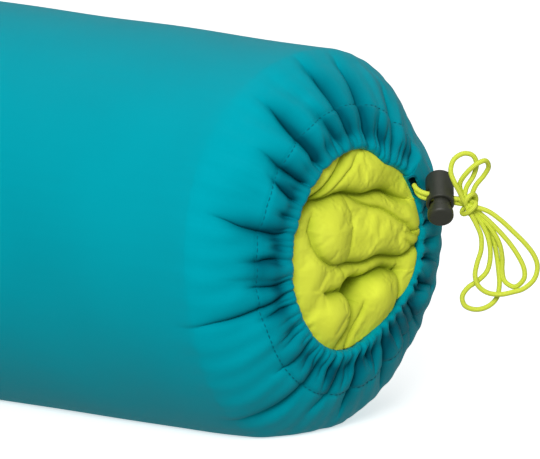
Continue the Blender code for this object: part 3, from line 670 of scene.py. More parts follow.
def curve_through(points, spacing):
    """Points about `spacing` apart on the smooth curve through the given ones (Catmull-Rom)."""
    points = np.asarray(points, float)
    padded = np.concatenate([[2 * points[0] - points[1]], points, [2 * points[-1] - points[-2]]])
    p0, p1, p2, p3 = (padded[k : k + len(points) - 1, None] for k in range(4))
    t = np.linspace(0, 1, 24, endpoint=False)[None, :, None]
    square, cube = 2 * p0 - 5 * p1 + 4 * p2 - p3, 3 * p1 - p0 - 3 * p2 + p3
    fine = 0.5 * (2 * p1 + (p2 - p0) * t + square * t**2 + cube * t**3)
    fine = np.concatenate([fine.reshape(-1, 3), points[-1:]])
    run = run_along(fine)
    steps = np.linspace(0, run[-1], max(2, round(run[-1] / spacing)) + 1)
    return np.stack([np.interp(steps, run, fine[:, k]) for k in range(3)], axis=-1), run[-1]


# %% [markdown]
# ## The sack, its stitches and its base
#
# Stitches are small separate loops of thread. Each one is a short bar, thick in the middle and sunk into
# the cloth at both ends, and the row of them is one mesh. They are laid on the cloth by the same function
# that made the cloth, so they dip into every crease with it.


# %% Stitches
STITCH = 2.6 * MM


def stitch_bars(starts, ends, out, thickness, sides=6, rings=7):
    """Bars from each start to each end, bowed outwards: arrays of points (n, 3) and faces.

    The bar's line is start + t (end - start) + out * bow * sin(pi t), and its radius follows sin too."""
    t = np.linspace(0, 1, rings)[None, :, None]
    arch = np.sin(math.pi * t)
    line = starts[:, None] * (1 - t) + ends[:, None] * t + out[:, None] * thickness * (arch * 0.9 - 0.35)
    wide = np.cross(unit(ends - starts), out)
    turn = np.linspace(0, 2 * math.pi, sides, endpoint=False)
    ring = np.cos(turn)[None, :, None] * wide[:, None] + np.sin(turn)[None, :, None] * out[:, None]
    radius = thickness / 2 * (0.45 + 0.55 * arch)
    points = line[:, :, None] + radius[..., None] * ring[:, None]
    one = grid_faces(rings, sides, closed_columns=True)
    faces = (one[None] + (np.arange(len(starts)) * rings * sides)[:, None, None]).reshape(-1, 4)
    return points.reshape(-1, 3), faces


def on_casing_row(angle, lift=0.0):
    """Points of the cloth where the casing is sewn down."""
    return cloth_point(np.full(angle.shape, CASING), angle, lift=lift)


def make_casing_stitches():
    """Lock stitches all round the mouth, where the casing is sewn down, with a gap after each one."""
    fine = np.linspace(0, 360, 3000)
    run = run_along(on_casing_row(fine))
    count = int(run[-1] / STITCH)
    at = np.interp(np.arange(count) / count * run[-1], run, fine)
    to = np.interp((np.arange(count) + 0.82) / count * run[-1], run, fine)
    middle = (at + to) / 2
    out = unit(on_casing_row(middle, lift=MM) - on_casing_row(middle))
    points, faces = stitch_bars(on_casing_row(at), on_casing_row(to), out, 0.42 * MM)
    print(f"{count} stitches close the casing, along {run[-1]:.2f} m of gathered cloth")
    return close_ends(new_piece("casing_stitches", points, faces))


sack_cloth = make_sack_cloth()
casing_stitches = make_casing_stitches()


# %% Base
def make_base_cloth():
    """The round base: a low dome, x = face - dome * (1 - q * q), with fine puckers from its seam inwards."""
    rim = RADIUS - 3.9 * MM
    share = np.concatenate([np.linspace(0.004, 0.9, 40), np.linspace(0.91, 1, 22)])[:, None]
    angle = (np.arange(480) * 360 / 480)[None, :]
    t = np.radians(angle)
    pull = np.exp(-(1 - share) * 16) * (1 - np.exp(-(1 - share) * 90))
    puckers = np.sin(46 * t + 2 * np.sin(3 * t)) + 0.6 * np.sin(71 * t + 1.2 * np.cos(4 * t))
    ripple = 0.45 * MM * pull * puckers
    wave = 0.5 * MM * np.sin(2 * t + 0.7 + 4 * share) * share * (1 - share) * 4
    roll = 1.7 * MM * smooth_step(share, 0.975, 1.0)
    x = BASE_X - 4 * MM * (1 - share**2) + ripple + wave + roll
    grid = around_axis(x, rim * share + 0 * angle, angle)
    uv = np.stack([grid[..., 1], grid[..., 2]], axis=-1)
    uv = np.concatenate([uv, uv[:, :1]], axis=1)
    piece = sheet_mesh("base_cloth", grid, uv, closed_columns=True)
    mesh = bmesh.new()
    mesh.from_mesh(piece.data)
    mesh.verts.ensure_lookup_table()
    mesh.faces.new([mesh.verts[k] for k in range(angle.size)])
    bmesh.ops.triangulate(mesh, faces=[f for f in mesh.faces if len(f.verts) > 4])
    bmesh.ops.recalc_face_normals(mesh, faces=mesh.faces)
    mesh.faces.ensure_lookup_table()
    if mesh.faces[0].normal.x > 0:
        bmesh.ops.reverse_faces(mesh, faces=mesh.faces)
    mesh.to_mesh(piece.data)
    mesh.free()
    piece.data.polygons.foreach_set("use_smooth", np.ones(len(piece.data.polygons), bool))
    return piece, 2 * rim


base_cloth, base_width = make_base_cloth()

# %% [markdown]
# ## The pillow in the mouth
#
# The pillow's cover is loose cloth over soft fill, and the drawn mouth squeezes it into flaps that lie over
# each other. What the eye reads is the creases between them, so the cover is built from its creases. Each
# one is a line of a few points with a valley along it. On one side of the valley the cloth bulges, because
# it is the flap that lies on top: `height = bulge * exp(-|d| / wide) - depth * exp(-|d| / narrow)`, with
# the bulge only where the signed distance `d` has the flap's sign. Under the creases is a soft relief of a
# few round swellings, with one deep pocket where four flaps meet.

# %% The cover's creases
# points (y, z) in mm from the mouth's middle; depth and width of the valley; bulge, its width and its side
COVER_CREASES = [
    ([(-2, 41), (-7, 36), (-17, 30), (-25, 24), (-31, 21)], 4.2, 1.0, 1.0, 2.6, 1),
    ([(3, 39), (-4, 33), (-13, 28), (-21, 24)], 1.6, 1.0, 0.8, 2.0, -1),
    ([(-35, 17), (-25, 23), (-13, 24.5), (-2, 23), (11, 22), (23, 20), (33, 16)], 6.0, 1.8, 2.6, 5.0, 1),
    ([(0, 22), (9, 17), (20, 12), (31, 7), (40, -1)], 2.8, 1.1, 1.2, 4.0, 1),
    ([(-25, 17), (-28, 11), (-26, 6), (-22, 1), (-15, -3), (-8, -5)], 3.6, 1.7, 1.8, 4.5, 1),
    ([(-5, 22), (-3, 15), (-4, 8), (-4, 1), (-6, -3)], 1.6, 2.2, 0.9, 5.0, -1),
    ([(-9, -5), (1, -5), (12, -4.5), (20, -5.5), (29, -6), (40, -3)], 5.2, 1.7, 2.2, 5.0, 1),
    ([(-9, -6), (-7, -11), (-8, -15)], 1.5, 1.3, 1.0, 4.0, -1),
    ([(-19, -14), (-13, -15), (-7, -16), (0, -20)], 5.0, 1.5, 2.0, 4.5, -1),
    ([(-2, -20), (4, -14), (10, -11), (19, -11), (28, -12)], 6.0, 1.8, 2.4, 5.0, -1),
    ([(-2, -19), (-3, -25), (-4, -31), (-9, -37)], 5.0, 1.6, 1.8, 4.0, -1),
    ([(5, -20), (1, -29), (-1, -35), (-3, -42)], 2.0, 1.2, 1.2, 3.0, 1),
    ([(27, -10), (28, -16), (28, -21), (25, -28)], 4.4, 0.9, 1.0, 3.0, -1),
    ([(30, 1), (35, -3), (40, -5)], 1.6, 1.0, 0.8, 2.0, 1),
    ([(29, 4), (35, 2), (41, 3)], 1.4, 1.0, 0.7, 2.0, -1),
]
# middle (y, z), half sizes (y, z) and height of each swelling, mm
SWELLINGS = [
    ((-15, 10), (9, 11), 3.4), ((18, 6), (17, 9), 3.2), ((-15, -26), (9, 9), 4.0), ((14, -21), (11, 11), 4.6),
    ((8, 32), (20, 8), 2.8), ((36, -2), (9, 24), 3.6), ((-26, -6), (8, 12), 2.2), ((2, -14), (6, 3.6), -10),
]  # fmt: skip
PILLOW_RADIUS = RADIUS - 2.4 * MM
FRONT_DEPTH = 32 * MM
FRONT_RECESS = 3 * MM
REAR_DEPTH = 16 * MM
REAR_GAP = 2 * MM
DISC = 47 * MM


def crown(r):
    """x of the smooth crowned front at radius r."""
    share = np.clip(r / PILLOW_RADIUS, 0, 1)
    return MOUTH_X - FRONT_RECESS - FRONT_DEPTH * (1 - (1 - share**2.2) ** (1 / 2.2))


def line_distance(y, z, points):
    """The signed distance from a line of points, positive on its left, and a fade to 0 at its two ends."""
    nearest = np.full(y.shape, np.inf)
    signed, along = np.zeros(y.shape), np.zeros(y.shape)
    count = len(points) - 1
    for i, ((y0, z0), (y1, z1)) in enumerate(zip(points[:-1], points[1:])):
        dy, dz = y1 - y0, z1 - z0
        t = ((y - y0) * dy + (z - z0) * dz) / (dy * dy + dz * dz)
        t = np.clip(t, 0, 1)
        away_y, away_z = y - y0 - t * dy, z - z0 - t * dz
        distance = np.hypot(away_y, away_z)
        closer = distance < nearest
        nearest = np.where(closer, distance, nearest)
        signed = np.where(closer, distance * np.sign(dy * away_z - dz * away_y), signed)
        along = np.where(closer, (i + t) / count, along)
    return signed, smooth_step(along, -0.12, 0.15) * (1 - smooth_step(along, 0.85, 1.12))


def cover_height(y, z):
    """x of the crumpled cover at y and z, metres from the mouth's middle, and how much painted shade its
    colour
    gets: more where the cover lies deep and along each crease.
    """
    y_mm, z_mm = y / MM, z / MM
    r = np.hypot(y_mm, z_mm)
    height = -3.0 - 2.6 * (r / 40) ** 2.5
    for (cy, cz), (half_y, half_z), rise in SWELLINGS:
        height = height + rise * np.exp(-(((y_mm - cy) / half_y) ** 2) - ((z_mm - cz) / half_z) ** 2)
    # painted shade where the cover lies deep, most in the pocket where four flaps meet
    painted_shade = np.clip((-5 - height) / 9, 0, 1)
    bent_y = y_mm + 0.7 * np.sin(z_mm / 3.1 + 1)
    bent_z = z_mm + 0.7 * np.sin(y_mm / 3.7)
    for points, depth, narrow, bulge, wide, side in COVER_CREASES:
        distance, fade = line_distance(bent_y, bent_z, points)
        away = np.sqrt(distance**2 + 0.04)
        on_top = smooth_step(distance * side, -0.3, 0.5)
        height = height + fade * bulge * np.exp(-away / wide) * on_top
        height = height - fade * depth * np.exp(-away / narrow)
        # painted shade along the crease's valley
        painted_shade = painted_shade + fade * depth / 5.5 * np.exp(-away / (1.2 * narrow))
    r = r + drawn_in(np.degrees(np.arctan2(z, y))) / MM
    rim = 4.5 - 12 * np.clip((r - 36) / 5.2, 0, 1.1) ** 3
    return MOUTH_X + rounded_min(height, rim, 0.8) * MM, np.clip(painted_shade, 0, 1)


def square_to_disc(count):
    """A grid of the unit disc whose rows and columns are a square's: each square ring becomes a circle."""
    a, b = np.meshgrid(np.linspace(-1, 1, count), np.linspace(-1, 1, count))
    return a * np.sqrt(1 - b * b / 2), b * np.sqrt(1 - a * a / 2)


def make_pillow(name, count, move=None):
    """The closed cover: the crumpled disc, then rings over the crown, the sides and the rear, to a pole.

    `move` is added to the disc's points. Also returns 0 to 1 for how firmly the fill holds each point."""
    u, v = square_to_disc(count)
    y, z = DISC * u, DISC * v
    front, painted_shade = cover_height(y, z)
    blend = smooth_step(np.hypot(u, v), 0.86, 0.99)
    x = front * (1 - blend) + (crown(np.hypot(y, z)) - 2.0 * MM) * blend
    disc = np.stack([x, y, z + AXIS_Z], axis=-1)
    if move is not None:
        disc = disc + move
    number = np.arange(count * count).reshape(count, count)
    loop = np.concatenate([number[0, :-1], number[:-1, -1], number[-1, :0:-1], number[:0:-1, 0]])
    rim = disc.reshape(-1, 3)[loop]
    angle = np.degrees(np.arctan2(rim[:, 2] - AXIS_Z, rim[:, 1]))[None, :]
    front_r = np.linspace(DISC, PILLOW_RADIUS - 0.2 * MM, 9)[1:]
    front_x = crown(front_r) - (2 + 5 * np.sin(np.linspace(0, math.pi, 8))) * MM
    rear = BASE_X + REAR_GAP + REAR_DEPTH
    sides_x = np.linspace(front_x[-1], rear, 6)[1:]
    rear_share = np.array([0.98, 0.93, 0.8, 0.55, 0.3, 0.08])
    r = np.concatenate([front_r, np.full(5, PILLOW_RADIUS), PILLOW_RADIUS * rear_share])[:, None]
    x = np.concatenate([front_x, sides_x, rear - REAR_DEPTH * (1 - rear_share**4) ** 0.25])[:, None]
    rings = around_axis(x, r - 0.3 * MM + 0 * angle, angle, floor_gap=2.6 * MM)
    pole = np.array([[rear - REAR_DEPTH, 0.0, AXIS_Z]])
    points = np.concatenate([disc.reshape(-1, 3), rings.reshape(-1, 3), pole])
    wide = len(loop)
    rows = np.concatenate([loop[None, :], count**2 + np.arange(rings.shape[0] * wide).reshape(-1, wide)])
    cells = rows.reshape(-1)[grid_faces(rows.shape[0], wide, closed_columns=True)]
    fan = np.stack([rows[-1], np.roll(rows[-1], -1), np.full(wide, len(points) - 1)], axis=-1)
    faces = grid_faces(count, count).tolist() + cells.tolist() + fan.tolist()
    piece = face_outwards(new_piece(name, points, faces))
    behind = np.zeros(len(points) - count**2)
    # the disc's painted shade goes to the cover's colour; the sides and rear get none
    paint(piece, "painted_shade", np.concatenate([painted_shade.reshape(-1), behind]))
    # the creases, where the painted shade is, are held firmly by the fill
    held = np.maximum(blend, np.clip(1.5 * painted_shade, 0, 1))
    return piece, np.concatenate([held.reshape(-1), behind + 1])


# %% [markdown]
# A short cloth simulation then gives the flaps what no formula does. The cover is a little too big for its
# fill. It is held in its creases and at its sides, and pressure from inside blows the flaps up until they
# wrinkle. Gravity is off, because the fill carries the cover. The solver is slow on a fine mesh, so it runs
# on a coarse copy of the cover, and the movement that it finds is spread smoothly over the fine one. No
# point moves further than a cap, so that the cover stays clear of the sack.


# %% Simulation
FRAMES = 20


def simulate(piece, held, cap, pressure, extra):
    """Steps Blender's cloth solver over the frames, and returns how far each point moved, at most the cap.

    `held` goes from 0 for free to 1 for fixed, and `extra` is how much too big the cloth is."""
    start = np.empty(len(piece.data.vertices) * 3)
    piece.data.vertices.foreach_get("co", start)
    group = piece.vertex_groups.new(name="held")
    level = np.round(held * 10).astype(int)
    for step in range(1, 11):
        group.add(np.flatnonzero(level == step).tolist(), step / 10, "REPLACE")
    cloth = piece.modifiers.new("cover", "CLOTH")
    cloth.collision_settings.use_collision = False
    cloth.point_cache.frame_start, cloth.point_cache.frame_end = 1, FRAMES
    settings = cloth.settings
    settings.quality = 4
    settings.mass = 0.002
    settings.tension_stiffness = settings.compression_stiffness = 12
    settings.shear_stiffness = 4
    settings.bending_stiffness = 0.4
    settings.use_pressure = True
    settings.uniform_pressure_force = pressure
    settings.shrink_min = -extra
    settings.effector_weights.gravity = 0
    settings.vertex_group_mass = "held"
    for step in range(1, FRAMES + 1):
        bpy.context.scene.frame_set(step)
    made = piece.evaluated_get(bpy.context.evaluated_depsgraph_get()).to_mesh()
    end = np.empty(len(made.vertices) * 3)
    made.vertices.foreach_get("co", end)
    bpy.context.scene.frame_set(1)
    bpy.data.objects.remove(piece)
    move = (end - start).reshape(-1, 3)
    size = np.linalg.norm(move, axis=1, keepdims=True)
    print(f"the cover moved {size.mean() / MM:.2f} mm on average and {size.max() / MM:.2f} mm at most")
    return move * np.minimum(1, cap / np.maximum(size, 1e-9))


def spread(values, count):
    """A square grid's values at count x count points, each a Gaussian mean of the nearest ones."""
    at = np.linspace(0, len(values) - 1, count)[:, None]
    weight = np.exp(-(((at - np.arange(len(values))) / 0.7) ** 2))
    weight = weight / weight.sum(axis=1, keepdims=True)
    return np.einsum("ia,ajk->ijk", weight, np.einsum("jb,abk->ajk", weight, values))


COARSE, FINE = 70, 250
cover_move = None
coarse_cover, cover_held = make_pillow("coarse_cover", COARSE)
cover_move = simulate(coarse_cover, cover_held, cap=2.5 * MM, pressure=4.0, extra=0.02)
cover_move = spread(cover_move[: COARSE**2].reshape(COARSE, COARSE, 3), FINE)
pillow_cover, _ = make_pillow("pillow_cover", FINE, cover_move)

# %% [markdown]
# ## The drawcord and its tied tails
#
# The cord is a thin woven tube, and both of its tails go through the spring lock and into one knot. Past
# the knot they are tied up in loops. A cord keeps its length, so each route is a list of given points, a
# smooth curve goes through them, and its length is measured. In the lock the route is straight, for as far
# as the lock can slide. Past it each tail goes down in a loop, comes back through the knot and goes up in
# another. The lower one then goes down once more.

# %% Lock and knot places
CORD = 2.0 * MM
LOCK_AXIS = unit(np.array([0.5132, -0.6249, -0.5883]))
lock_slide = np.array([0.6580, 0.7266, -0.1978])
CORD_WAY = unit(lock_slide - (lock_slide @ LOCK_AXIS) * LOCK_AXIS)
LOCK_ACROSS = np.cross(LOCK_AXIS, CORD_WAY)
LOCK = EXIT_RING + np.array([12.7, 0.9, -5.1]) * MM
KNOT = LOCK + 11.2 * MM * CORD_WAY
LOOPS_WAY = np.array([0.788, 0.616, 0.0])
LOOPS_OUT = np.array([0.616, -0.788, 0.0])
THREADING = (-5.9, -2.0, 2.0, 5.0, 6.6, 7.8)  # mm along the cords' way, the straight part in the lock


def by_knot(points):
    """Points given as (along the loops' plane, up, towards the camera), in mm from the knot's middle."""
    points = np.asarray(points, float) * MM
    up = np.array([0.0, 0.0, 1.0])
    return KNOT + points[:, :1] * LOOPS_WAY + points[:, 1:2] * up + points[:, 2:] * LOOPS_OUT


# %% Cord routes
UPPER_TAIL = [
    (0.6, -0.9, 1.5), (4.6, -1.8, 1.8), (8.8, -3.4, 1.9), (13.6, -7.0, 1.8), (18.2, -11.4, 1.6),
    (22.9, -16.2, 1.4), (26.4, -21.0, 1.2), (27.8, -25.8, 1.0), (26.4, -30.8, 1.0), (22.4, -34.4, 1.2),
    (17.8, -35.8, 1.6), (13.0, -36.6, 2.0), (8.0, -35.8, 2.4), (4.4, -33.0, 2.6), (3.1, -28.8, 2.6),
    (3.9, -24.0, 2.4), (5.5, -18.5, 2.2), (5.4, -13.0, 2.0), (3.4, -8.0, 1.8), (1.0, -3.6, 1.6),
    (-1.2, 0.6, 1.8), (-3.1, 4.8, 2.6), (-5.1, 8.8, 3.2), (-6.6, 13.2, 2.6), (-5.4, 17.6, 1.6),
    (-1.6, 19.9, 0.6), (2.2, 18.9, -0.4), (3.6, 15.2, -1.0), (2.4, 10.6, -0.8), (-0.2, 6.4, -0.2),
    (-1.2, 2.4, 0.4),
]  # fmt: skip
LOWER_TAIL = [
    (0.6, -1.5, -1.3), (5.4, -4.8, -0.8), (11.0, -9.9, -0.6), (16.6, -16.2, -0.4), (20.6, -22.2, 0.0),
    (22.6, -27.0, 0.2), (22.3, -31.0, 0.0), (18.9, -34.2, -1.4), (15.0, -32.3, -2.8), (13.9, -28.0, -3.2),
    (13.9, -22.8, -2.4), (12.6, -16.4, -1.4), (8.8, -9.8, -1.0), (4.4, -5.0, -1.2), (0.4, -0.8, -1.4),
    (-2.2, 3.6, -0.6), (-2.9, 8.0, 1.2), (-0.6, 12.2, 3.0), (3.2, 15.9, 3.4), (7.0, 17.2, 1.4),
    (8.4, 14.2, -1.6), (6.6, 10.4, -3.0), (3.2, 6.0, -3.0), (1.8, 1.0, -2.8), (3.4, -4.0, -3.0),
    (7.0, -8.6, -3.2), (9.8, -13.6, -3.4), (11.4, -20.0, -3.4), (12.4, -27.2, -3.2), (12.8, -33.8, -2.8),
    (11.6, -39.0, -2.0), (8.0, -42.2, -1.2), (3.4, -43.2, -0.6), (-0.8, -41.6, -0.2), (-1.9, -37.8, 0.0),
    (0.4, -34.2, 0.0), (4.4, -31.4, -0.2), (8.0, -27.4, -0.4), (9.2, -21.0, -0.4), (8.2, -14.0, -0.6),
    (5.4, -8.0, -0.6), (2.6, -4.0, -0.4),
]  # fmt: skip


def tail_route(side, beyond):
    """One tail: out of the buttonhole, round into the lock, straight through it, then its own points."""
    aside = side * 1.2 * MM
    start = EXIT_RING + aside * EXIT_ALONG + 4.2 * MM * EXIT_WAY
    entry = LOCK + aside * LOCK_ACROSS + THREADING[0] * MM * CORD_WAY
    pull = 0.36 * np.linalg.norm(entry - start)
    controls = [start, start + pull * EXIT_WAY, entry - pull * CORD_WAY, entry]
    t = np.array([0, 0.3, 0.65])[:, None]
    weights = [(1 - t) ** 3, 3 * t * (1 - t) ** 2, 3 * t**2 * (1 - t), t**3]
    bend = sum(w * c for w, c in zip(weights, controls))
    through = [LOCK + aside * LOCK_ACROSS + step * MM * CORD_WAY for step in THREADING]
    return np.concatenate([bend, through, by_knot(beyond)])


upper_path, upper_length = curve_through(tail_route(1, UPPER_TAIL), 0.45 * MM)
lower_path, lower_length = curve_through(tail_route(-1, LOWER_TAIL), 0.45 * MM)
upper_tail = tube_piece("upper_tail", upper_path, CORD / 2)
lower_tail = tube_piece("lower_tail", lower_path, CORD / 2)
print(f"tails of {1000 * upper_length:.0f} and {1000 * lower_length:.0f} mm")

# %% [markdown]
# The knot is drawn tight, and a tight knot is a few turns of cord lying side by side. Its path is a winding
# that goes round a small ring while it circles it, `(2, 3)` times, the way an overhand knot does.


# %% Knot
def make_knot():
    """The winding: angle t goes twice round the ring, and the cord circles the ring's line three times."""
    t = np.linspace(0, 2 * math.pi, 260, endpoint=False)
    ring, circle = 2.9 * MM, 1.4 * MM
    a = (ring + circle * np.cos(3 * t)) * np.cos(2 * t)
    b = (ring + circle * np.cos(3 * t)) * np.sin(2 * t)
    c = 1.5 * circle * np.sin(3 * t)
    lean = np.array([0.35, 0.0, 0.94])
    flat = np.cross(LOOPS_OUT, lean)
    path = KNOT + 1.2 * MM * LOOPS_WAY - 1.2 * MM * lean
    path = path + a[:, None] * 1.15 * lean + b[:, None] * LOOPS_OUT + c[:, None] * flat
    sides = 16
    grid = tube_grid(np.concatenate([path, path[:1]]), CORD / 2, sides)[:-1]
    uv_u = np.linspace(0, math.pi * CORD, sides + 1)
    uv_v = np.arange(len(path) + 1) * 0.3 * MM
    uv = np.stack(np.meshgrid(uv_u, uv_v), axis=-1)
    return sheet_mesh("knot", grid, uv, closed_rows=True, closed_columns=True)


knot = make_knot()


# %% Cord in the casing
def make_casing_cord():
    """The hidden ring of cord: it follows the casing's rolled edge in and out of the creases, and stops at
    the buttonhole.
    """
    angle = EXIT_ANGLE + np.linspace(8, 352, 420)
    middle = cloth_point(np.full(angle.shape, FOLD), angle, inset=FOLD, share=0.87)
    return tube_piece("casing_cord", middle, 0.8 * MM, sides=10)


casing_cord = make_casing_cord()

# %% [markdown]
# ## The cord lock
#
# The lock is two moulded pieces: a barrel that is closed at one end, and a button with a domed cap on a
# spring. Both are a profile turned round an axis, with every moulded edge rounded, and a slot cut across
# for the cords. The spring is a coil between them.


# %% Lock pieces
def in_lock(points):
    """Points given along the cords' way, across and along the lock's axis, from the lock's middle."""
    return LOCK + points[..., :1] * CORD_WAY + points[..., 1:2] * LOCK_ACROSS + points[..., 2:] * LOCK_AXIS


def corner(z, r, radius, first, last, steps=8):
    """Profile points (z, r) on a rounded edge, angles in degrees."""
    turn = np.radians(np.linspace(first, last, steps))
    return np.stack([z + radius * np.cos(turn), r + radius * np.sin(turn)], axis=-1)


def turned_piece(name, profile, sides=96):
    """A closed solid turned about the lock's axis from a profile (z, r) in mm that starts and ends on it."""
    profile = np.asarray(profile) * MM
    turn = np.linspace(0, 2 * math.pi, sides, endpoint=False)
    z, r = profile[1:-1, 0][:, None], profile[1:-1, 1][:, None]
    local = np.stack(np.broadcast_arrays(r * np.cos(turn), r * np.sin(turn), z), axis=-1)
    poles = in_lock(np.array([[0, 0, profile[0, 0]], [0, 0, profile[-1, 0]]]))
    points = np.concatenate([in_lock(local).reshape(-1, 3), poles])
    faces = [list(f) for f in grid_faces(len(z), sides, closed_columns=True)]
    count = len(z) * sides
    for k in range(sides):
        faces.append([(k + 1) % sides, k, count])
        faces.append([count - sides + k, count - sides + (k + 1) % sides, count + 1])
    return face_outwards(new_piece(name, points, faces))


def slot_cut(piece, low, high, width):
    """Cuts a slot with round corners across a turned piece, and rounds nothing else."""
    turn = np.concatenate([corner(0, 0, 1, a, a + 90, 5) for a in (0, 90, 180, 270)])
    half_z, half_w, edge = (high - low) / 2, width / 2, 0.5
    sign = np.repeat([[1, 1], [-1, 1], [-1, -1], [1, -1]], 5, axis=0)
    outline = sign * np.array([half_z - edge, half_w - edge]) + edge * turn
    outline = outline + np.array([(high + low) / 2, 0])
    ends = []
    for reach in (-9.0, 9.0):
        ends.append(np.stack([np.full(len(outline), reach), outline[:, 1], outline[:, 0]], axis=-1))
    points = in_lock(np.array(ends) * MM)
    count = len(outline)
    faces = [list(f) for f in grid_faces(2, count, closed_columns=True)]
    faces += [list(range(count)), list(range(2 * count - 1, count - 1, -1))]
    cutter = face_outwards(new_piece("slot_cutter", points.reshape(-1, 3), faces, smooth=False))
    cut = piece.modifiers.new("slot", "BOOLEAN")
    cut.operation = "DIFFERENCE"
    cut.object = cutter
    graph = bpy.context.evaluated_depsgraph_get()
    made = bpy.data.meshes.new_from_object(piece.evaluated_get(graph))
    piece.modifiers.clear()
    piece.data = made
    bpy.data.objects.remove(cutter)
    made.shade_smooth()
    made.set_sharp_from_angle(angle=math.radians(40))
    return piece


# mm along the lock's axis
BARREL_FLOOR = -9.5
STEM_END = -3.5


def make_lock():
    """Barrel and button, with the CAD pieces' sizes and rounder edges."""
    end = 1.6
    barrel = [[-11.0, 0.0], *corner(-11.0 + end, 5.6 - end, end, 180, 90), [-3.0, 5.6], [3.0, 5.6]]
    barrel += [*corner(3.2, 5.2, 0.4, 90, 0, 5), [3.6, 4.5], *corner(3.4, 4.6, 0.2, -45, -90, 3)]
    barrel += [[BARREL_FLOOR, 4.4], [BARREL_FLOOR, 0.0]]
    button = [[STEM_END, 0.0], [STEM_END, 4.0], [STEM_END + 0.15, 4.15], [7.3, 4.15]]
    button += [*corner(7.65, 4.75, 0.35, 180, 90, 5), [7.7, 5.15], [9.0, 5.2]]
    button += [*corner(9.5, 3.6, 1.6, 90, 20, 8), [11.05, 3.0], [11.12, 1.5], [11.15, 0.0]]
    barrel = slot_cut(turned_piece("lock_barrel", barrel), -2.2, 1.3, 5.0)
    button = slot_cut(turned_piece("lock_button", button), -1.3, 4.8, 5.0)
    return barrel, button


def make_spring():
    """A coil of four turns: z rises evenly with the turn, from the barrel's floor to the stem's end."""
    turn = np.linspace(0, 4 * 2 * math.pi, 4 * 28 + 1)
    z = np.linspace(BARREL_FLOOR + 0.25, STEM_END - 0.28, len(turn))
    local = np.stack([3.1 * np.cos(turn), 3.1 * np.sin(turn), z], axis=-1)
    return tube_piece("lock_spring", in_lock(local * MM), 0.2 * MM, sides=8)


lock_barrel, lock_button = make_lock()
lock_spring = make_spring()

# %% [markdown]
# ## The grab loop, the patch and the buttonhole's stitches
#
# Webbing is a flat weave about a millimetre thick, and its edges are round. The loop is a ribbon carried
# along the same line as the CAD's: two tabs on the base, and an S up to a straight top.


# %% Grab loop
LOOP_HALF_SPAN = 32 * MM
LOOP_TAB = 9 * MM
LOOP_RISE = 14 * MM
LOOP_TOP_HALF = 8 * MM
WEBBING = (15 * MM, 1.2 * MM)


def base_face(y):
    rim = RADIUS - BASE_CORNER - 0.3 * MM
    return BASE_X - 4 * MM * (1 - (y / rim) ** 2)


def loop_line(y):
    """x of the webbing's middle at y: on the base at its tabs, and standing off between them."""
    foot = LOOP_HALF_SPAN - LOOP_TAB
    share = np.clip((foot - np.abs(y)) / (foot - LOOP_TOP_HALF), 0, 1)
    return base_face(y) - 0.9 * MM - LOOP_RISE * (0.5 - 0.5 * np.cos(math.pi * share))


def make_grab_loop():
    """A rounded rectangle carried along the loop's line."""
    y = np.linspace(-LOOP_HALF_SPAN, LOOP_HALF_SPAN, 160)
    line = np.stack([loop_line(y), y, np.full(y.shape, AXIS_Z)], axis=-1)
    wide = np.array([0.0, 0.0, 1.0])
    out = np.cross(unit(np.gradient(line, axis=0)), wide)
    half_w, half_t = WEBBING[0] / 2, WEBBING[1] / 2
    turn = np.radians(np.concatenate([np.linspace(-90, 90, 9), np.linspace(90, 270, 9)]))
    sign = np.repeat([1, -1], 9)
    flat = sign * (half_w - half_t) + half_t * np.cos(turn)
    high = half_t * np.sin(turn)
    more_w = np.linspace(-1, 1, 14)[1:-1] * (half_w - half_t)
    flat = np.concatenate([flat[:9], more_w[::-1], flat[9:], more_w])
    high = np.concatenate([high[:9], np.full(12, half_t), high[9:], np.full(12, -half_t)])
    grid = line[:, None] + flat[None, :, None] * wide + high[None, :, None] * out[:, None]
    uv = np.stack(np.meshgrid(np.concatenate([flat, flat[:1]]), run_along(line)), axis=-1)
    return close_ends(sheet_mesh("grab_loop_webbing", grid, uv, closed_columns=True))


def make_bartack(name, side):
    """A zigzag of close stitches across one tab of the webbing."""
    count = 34
    y = side * (LOOP_HALF_SPAN - LOOP_TAB / 3) + np.where(np.arange(count + 1) % 2, 0.9, -0.9) * MM
    z = AXIS_Z + np.linspace(-6.3, 6.3, count + 1) * MM
    x = base_face(y) - 1.62 * MM
    spots = np.stack([x, y, z], axis=-1)
    out = np.tile([-1.0, 0.0, 0.0], (count, 1))
    points, faces = stitch_bars(spots[:-1], spots[1:], out, 0.5 * MM)
    return close_ends(new_piece(name, points, faces))


grab_loop_webbing = make_grab_loop()
bartack_left = make_bartack("bartack_left", -1)
bartack_right = make_bartack("bartack_right", 1)


# %% Exit patch
def make_exit_patch():
    """A piece of tape folded over the mouth's edge, with the buttonhole cut through it."""
    half = math.degrees(6 * MM / CHANNEL_R)
    angle = (EXIT_ANGLE + np.linspace(-half, half, 60))[None, :]
    turn = np.linspace(0, math.pi, 50)
    back = np.concatenate([np.linspace(8, 2.6, 20) * MM, FOLD * (1 - 1.24 * np.sin(turn))])[:, None]
    inset = np.concatenate([np.full(20, -0.57 * MM), FOLD * (1 - 1.24 * np.cos(turn))])[:, None]
    x, r, nx, nr = wall_line(back)
    step = 0.45 * MM * smooth_step(back, 0, 6 * MM)
    grid = around_axis(x - (inset - step) * nx, r - (inset - step) * nr + 0 * angle, angle)
    uv = np.stack(np.meshgrid(np.linspace(0, 12 * MM, 60), np.linspace(0, 18 * MM, 70)), axis=-1)
    piece = sheet_mesh("exit_tape", grid, uv, keep=~patch_hole(grid))
    piece.data.flip_normals()
    wall = piece.modifiers.new("tape thickness", "SOLIDIFY")
    wall.thickness = 0.25 * MM
    wall.offset = 1.0
    return piece


def patch_hole(grid):
    middle = (grid[:-1, :-1] + grid[1:, :-1] + grid[:-1, 1:] + grid[1:, 1:]) / 4
    return in_buttonhole(middle, 5 * MM)


